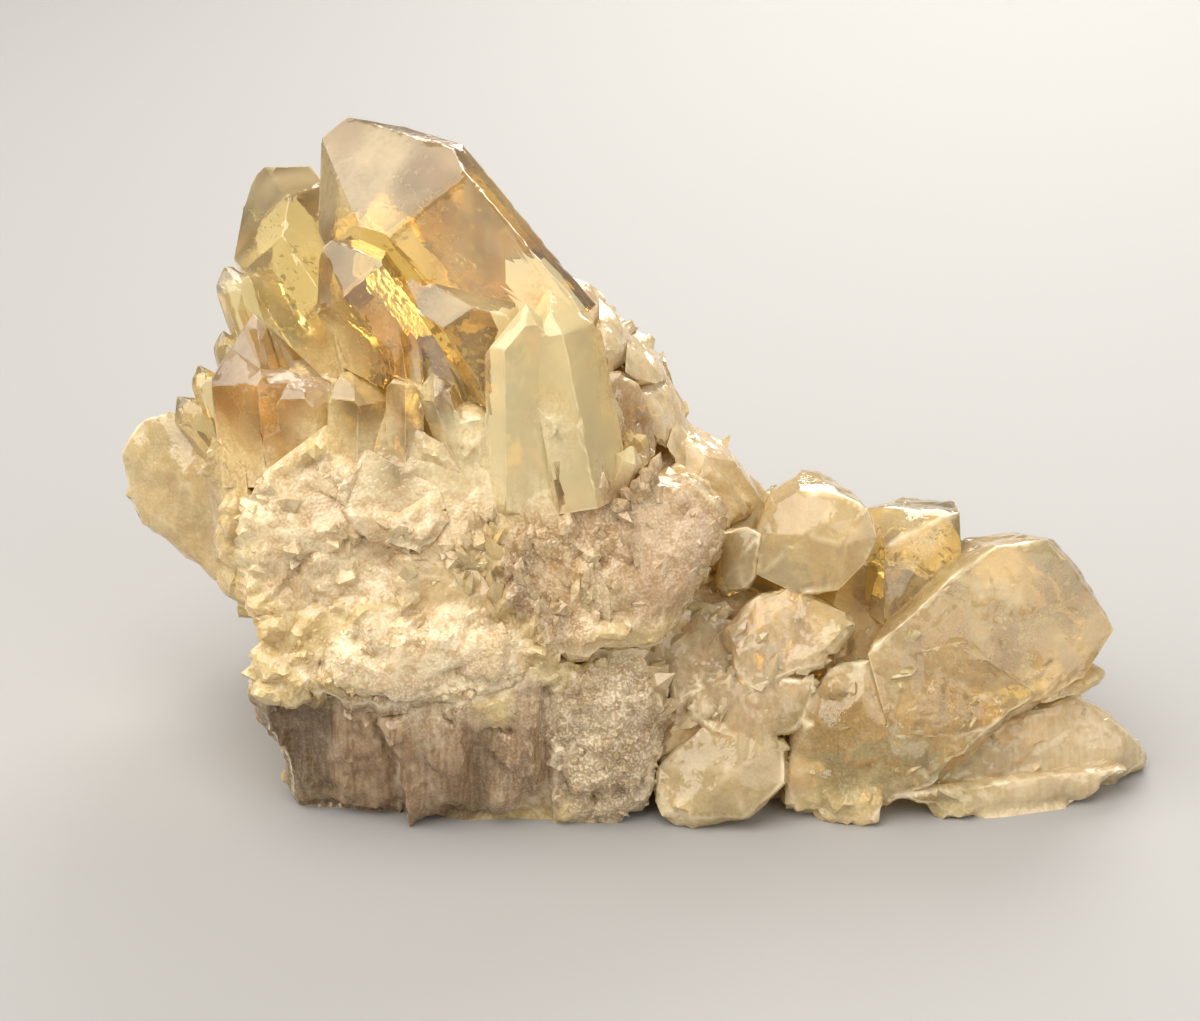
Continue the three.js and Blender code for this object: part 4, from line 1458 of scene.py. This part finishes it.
@dataclass
class Veils:
    """The flakes of all the veils, joined in one piece inside the clear crystals.

    Attributes:
        name: The piece's name.
        veils: Where they lie.
        low: The smallest flake's width.
        thick: How thick a flake is, as a share of its width.
        bend: How far a veil bends out of its plane, in millimetres.
        kinds: How many different flakes there are.
        seed: Where the random numbers start.
        finish: The material.
    """

    name: str = "veils"
    veils: tuple[Veil, ...] = VEILS
    low: float = 0.25
    thick: float = 0.06
    bend: float = 1.6
    kinds: int = 5
    seed: int = 77
    finish: VeilFinish = field(default_factory=VeilFinish)

    def build(self, skin: Skin) -> bpy.types.Object:
        """Scatter the flakes on each veil.

        Args:
            skin: The dressed surface, which they stay inside.

        Returns:
            The finished object.
        """
        random = np.random.default_rng(self.seed)
        shapes = [block(random) for _ in range(self.kinds)]
        heap = Heap()
        for veil in self.veils:
            ahead = unit(np.array(veil.facing))
            side = unit(np.cross(ahead, (0.3, 0.2, 0.9)))
            up = np.cross(ahead, side)
            for _ in range(veil.count):
                out = veil.radius * math.sqrt(random.random())
                way = random.uniform(0.0, 2.0 * math.pi)
                across, along = out * math.cos(way), out * math.sin(way)
                wave = self.bend * math.sin(across * 0.45 + veil.at[0]) * math.cos(along * 0.37)
                middle = np.array(veil.at) + SHIFT + side * across + up * along + ahead * wave
                turn = np.stack([unit(side + 0.3 * random.normal(size=3)), up, ahead])
                turn[2] = unit(np.cross(turn[0], up))
                turn[1] = np.cross(turn[2], turn[0])
                width = self.low * (veil.high / self.low) ** (random.random() ** 1.8)
                shape, triangles = shapes[random.integers(len(shapes))]
                size = width * np.array([1.0, random.uniform(0.4, 0.9), self.thick])
                if skin.holds(middle, width):
                    heap.add(shape * size @ turn + middle, triangles)
        mesh = heap.mesh(self.name)
        mesh.materials.append(self.finish.material())
        return add_to_scene(self.name, mesh)


@dataclass(frozen=True)
class Lamp:
    """One soft light that points at the specimen.

    Attributes:
        name: What it is called.
        place: Where it hangs, in metres.
        width: How wide it is, in metres.
        power: Its power in watts.
    """

    name: str
    place: Triple
    width: float
    power: float


@dataclass
class Studio:
    """The floor, the light and the camera.

    Attributes:
        distance: How far the camera stands from the point that it looks at, in metres.
        elevation: How far above the level it stands, in degrees.
        target: The point that it looks at.
        view_width: How much it sees across at that distance.
        sensor: The width of its sensor, in millimetres.
        bounces: How often light is followed through the clear quartz.
        matt_bounces: How often it is followed between matt surfaces.
        shiny_bounces: How often it is followed between shiny ones.
        floor_half: Half the floor's width, in metres.
        floor_tint: The floor's colour.
        floor_rough: How matt it is.
        lamps: The soft lights.
        lamp_tint: Their colour.
        lamp_aim: The point that they shine at.
        sky_tint: The colour of the even light around.
        sky_power: How strong that light is.
    """

    distance: float = 0.45
    elevation: float = 25.0
    target: Triple = (SHIFT[0] * MM, SHIFT[1] * MM, 0.034)
    view_width: float = 0.1752
    sensor: float = 36.0
    bounces: int = 6
    matt_bounces: int = 2
    shiny_bounces: int = 3
    floor_half: float = 2.0
    floor_tint: Colour = (0.36, 0.355, 0.35, 1.0)
    floor_rough: float = 0.7
    lamps: tuple[Lamp, ...] = (
        Lamp("key", (-0.30, -0.16, 0.62), 0.9, 9.8),
        Lamp("fill", (0.38, -0.45, 0.34), 0.5, 1.6),
        Lamp("behind", (0.15, 0.5, 0.35), 0.4, 3.4),
    )
    lamp_tint: Triple = (1.0, 0.96, 0.90)
    lamp_aim: Triple = (0.0, 0.0, 0.04)
    sky_tint: Colour = (1.0, 0.97, 0.93, 1.0)
    sky_power: float = 0.27

    def build(self) -> None:
        """Make everything that isn't part of the specimen."""
        self.add_floor()
        for lamp in self.lamps:
            self.add_light(lamp)
        self.add_sky()
        self.limit_bounces()
        self.add_camera()

    def add_floor(self) -> None:
        """Lay the plain pale floor."""
        bm = bmesh.new()
        bmesh.ops.create_grid(bm, x_segments=1, y_segments=1, size=self.floor_half)
        mesh = bpy.data.meshes.new("floor")
        bm.to_mesh(mesh)
        bm.free()
        floor = add_to_scene("floor", mesh)
        material = bpy.data.materials.new("floor")
        material.use_nodes = True
        shader = material.node_tree.nodes["Principled BSDF"]
        shader.inputs["Base Color"].default_value = self.floor_tint
        shader.inputs["Roughness"].default_value = self.floor_rough
        mesh.materials.append(material)

    def add_light(self, lamp: Lamp) -> None:
        """Hang one soft light."""
        light = bpy.data.lights.new(lamp.name, "AREA")
        light.size = lamp.width
        light.energy = lamp.power
        light.color = self.lamp_tint
        hung = add_to_scene(lamp.name, light)
        hung.location = lamp.place
        aim = Vector(self.lamp_aim) - Vector(lamp.place)
        hung.rotation_euler = aim.to_track_quat("-Z", "Y").to_euler()

    def add_sky(self) -> None:
        """Fill the rest with an even pale light."""
        world = bpy.data.worlds.new("studio")
        world.use_nodes = True
        background = world.node_tree.nodes["Background"]
        background.inputs["Color"].default_value = self.sky_tint
        background.inputs["Strength"].default_value = self.sky_power
        bpy.context.scene.world = world
        bpy.context.scene.view_settings.view_transform = "Standard"

    def limit_bounces(self) -> None:
        """Limit how often light is followed, so that clear quartz doesn't take long to draw."""
        cycles = bpy.context.scene.cycles
        cycles.max_bounces = cycles.transmission_bounces = self.bounces
        cycles.diffuse_bounces = self.matt_bounces
        cycles.glossy_bounces = self.shiny_bounces

    def add_camera(self) -> None:
        """Put the camera where the photograph was taken from."""
        camera = bpy.data.cameras.new("camera")
        camera.sensor_width = self.sensor
        camera.lens = self.sensor * self.distance / self.view_width
        camera.clip_start = 0.01
        stand = add_to_scene("camera", camera)
        lift = math.radians(self.elevation)
        target = Vector(self.target)
        away = Vector((0.0, -math.cos(lift), math.sin(lift)))
        stand.location = target + away * self.distance
        stand.rotation_euler = (-away).to_track_quat("-Z", "Y").to_euler()
        bpy.context.scene.camera = stand


def main() -> None:
    """Build the specimen and its studio."""
    logging.basicConfig(level=logging.INFO, format="%(message)s")
    skin_piece, skin = Specimen().build()
    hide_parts(NODE)
    finish = QuartzFinish().material("citrine grains", absorbs=False)
    pieces = (skin_piece, Crumbs().build(skin, finish), Veils().build(skin))
    for piece in pieces:
        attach(piece, "root")
        LOG.info("%s: %d triangles", piece.name, len(piece.data.polygons))
    Studio().build()


if __name__ == "__main__":
    main()
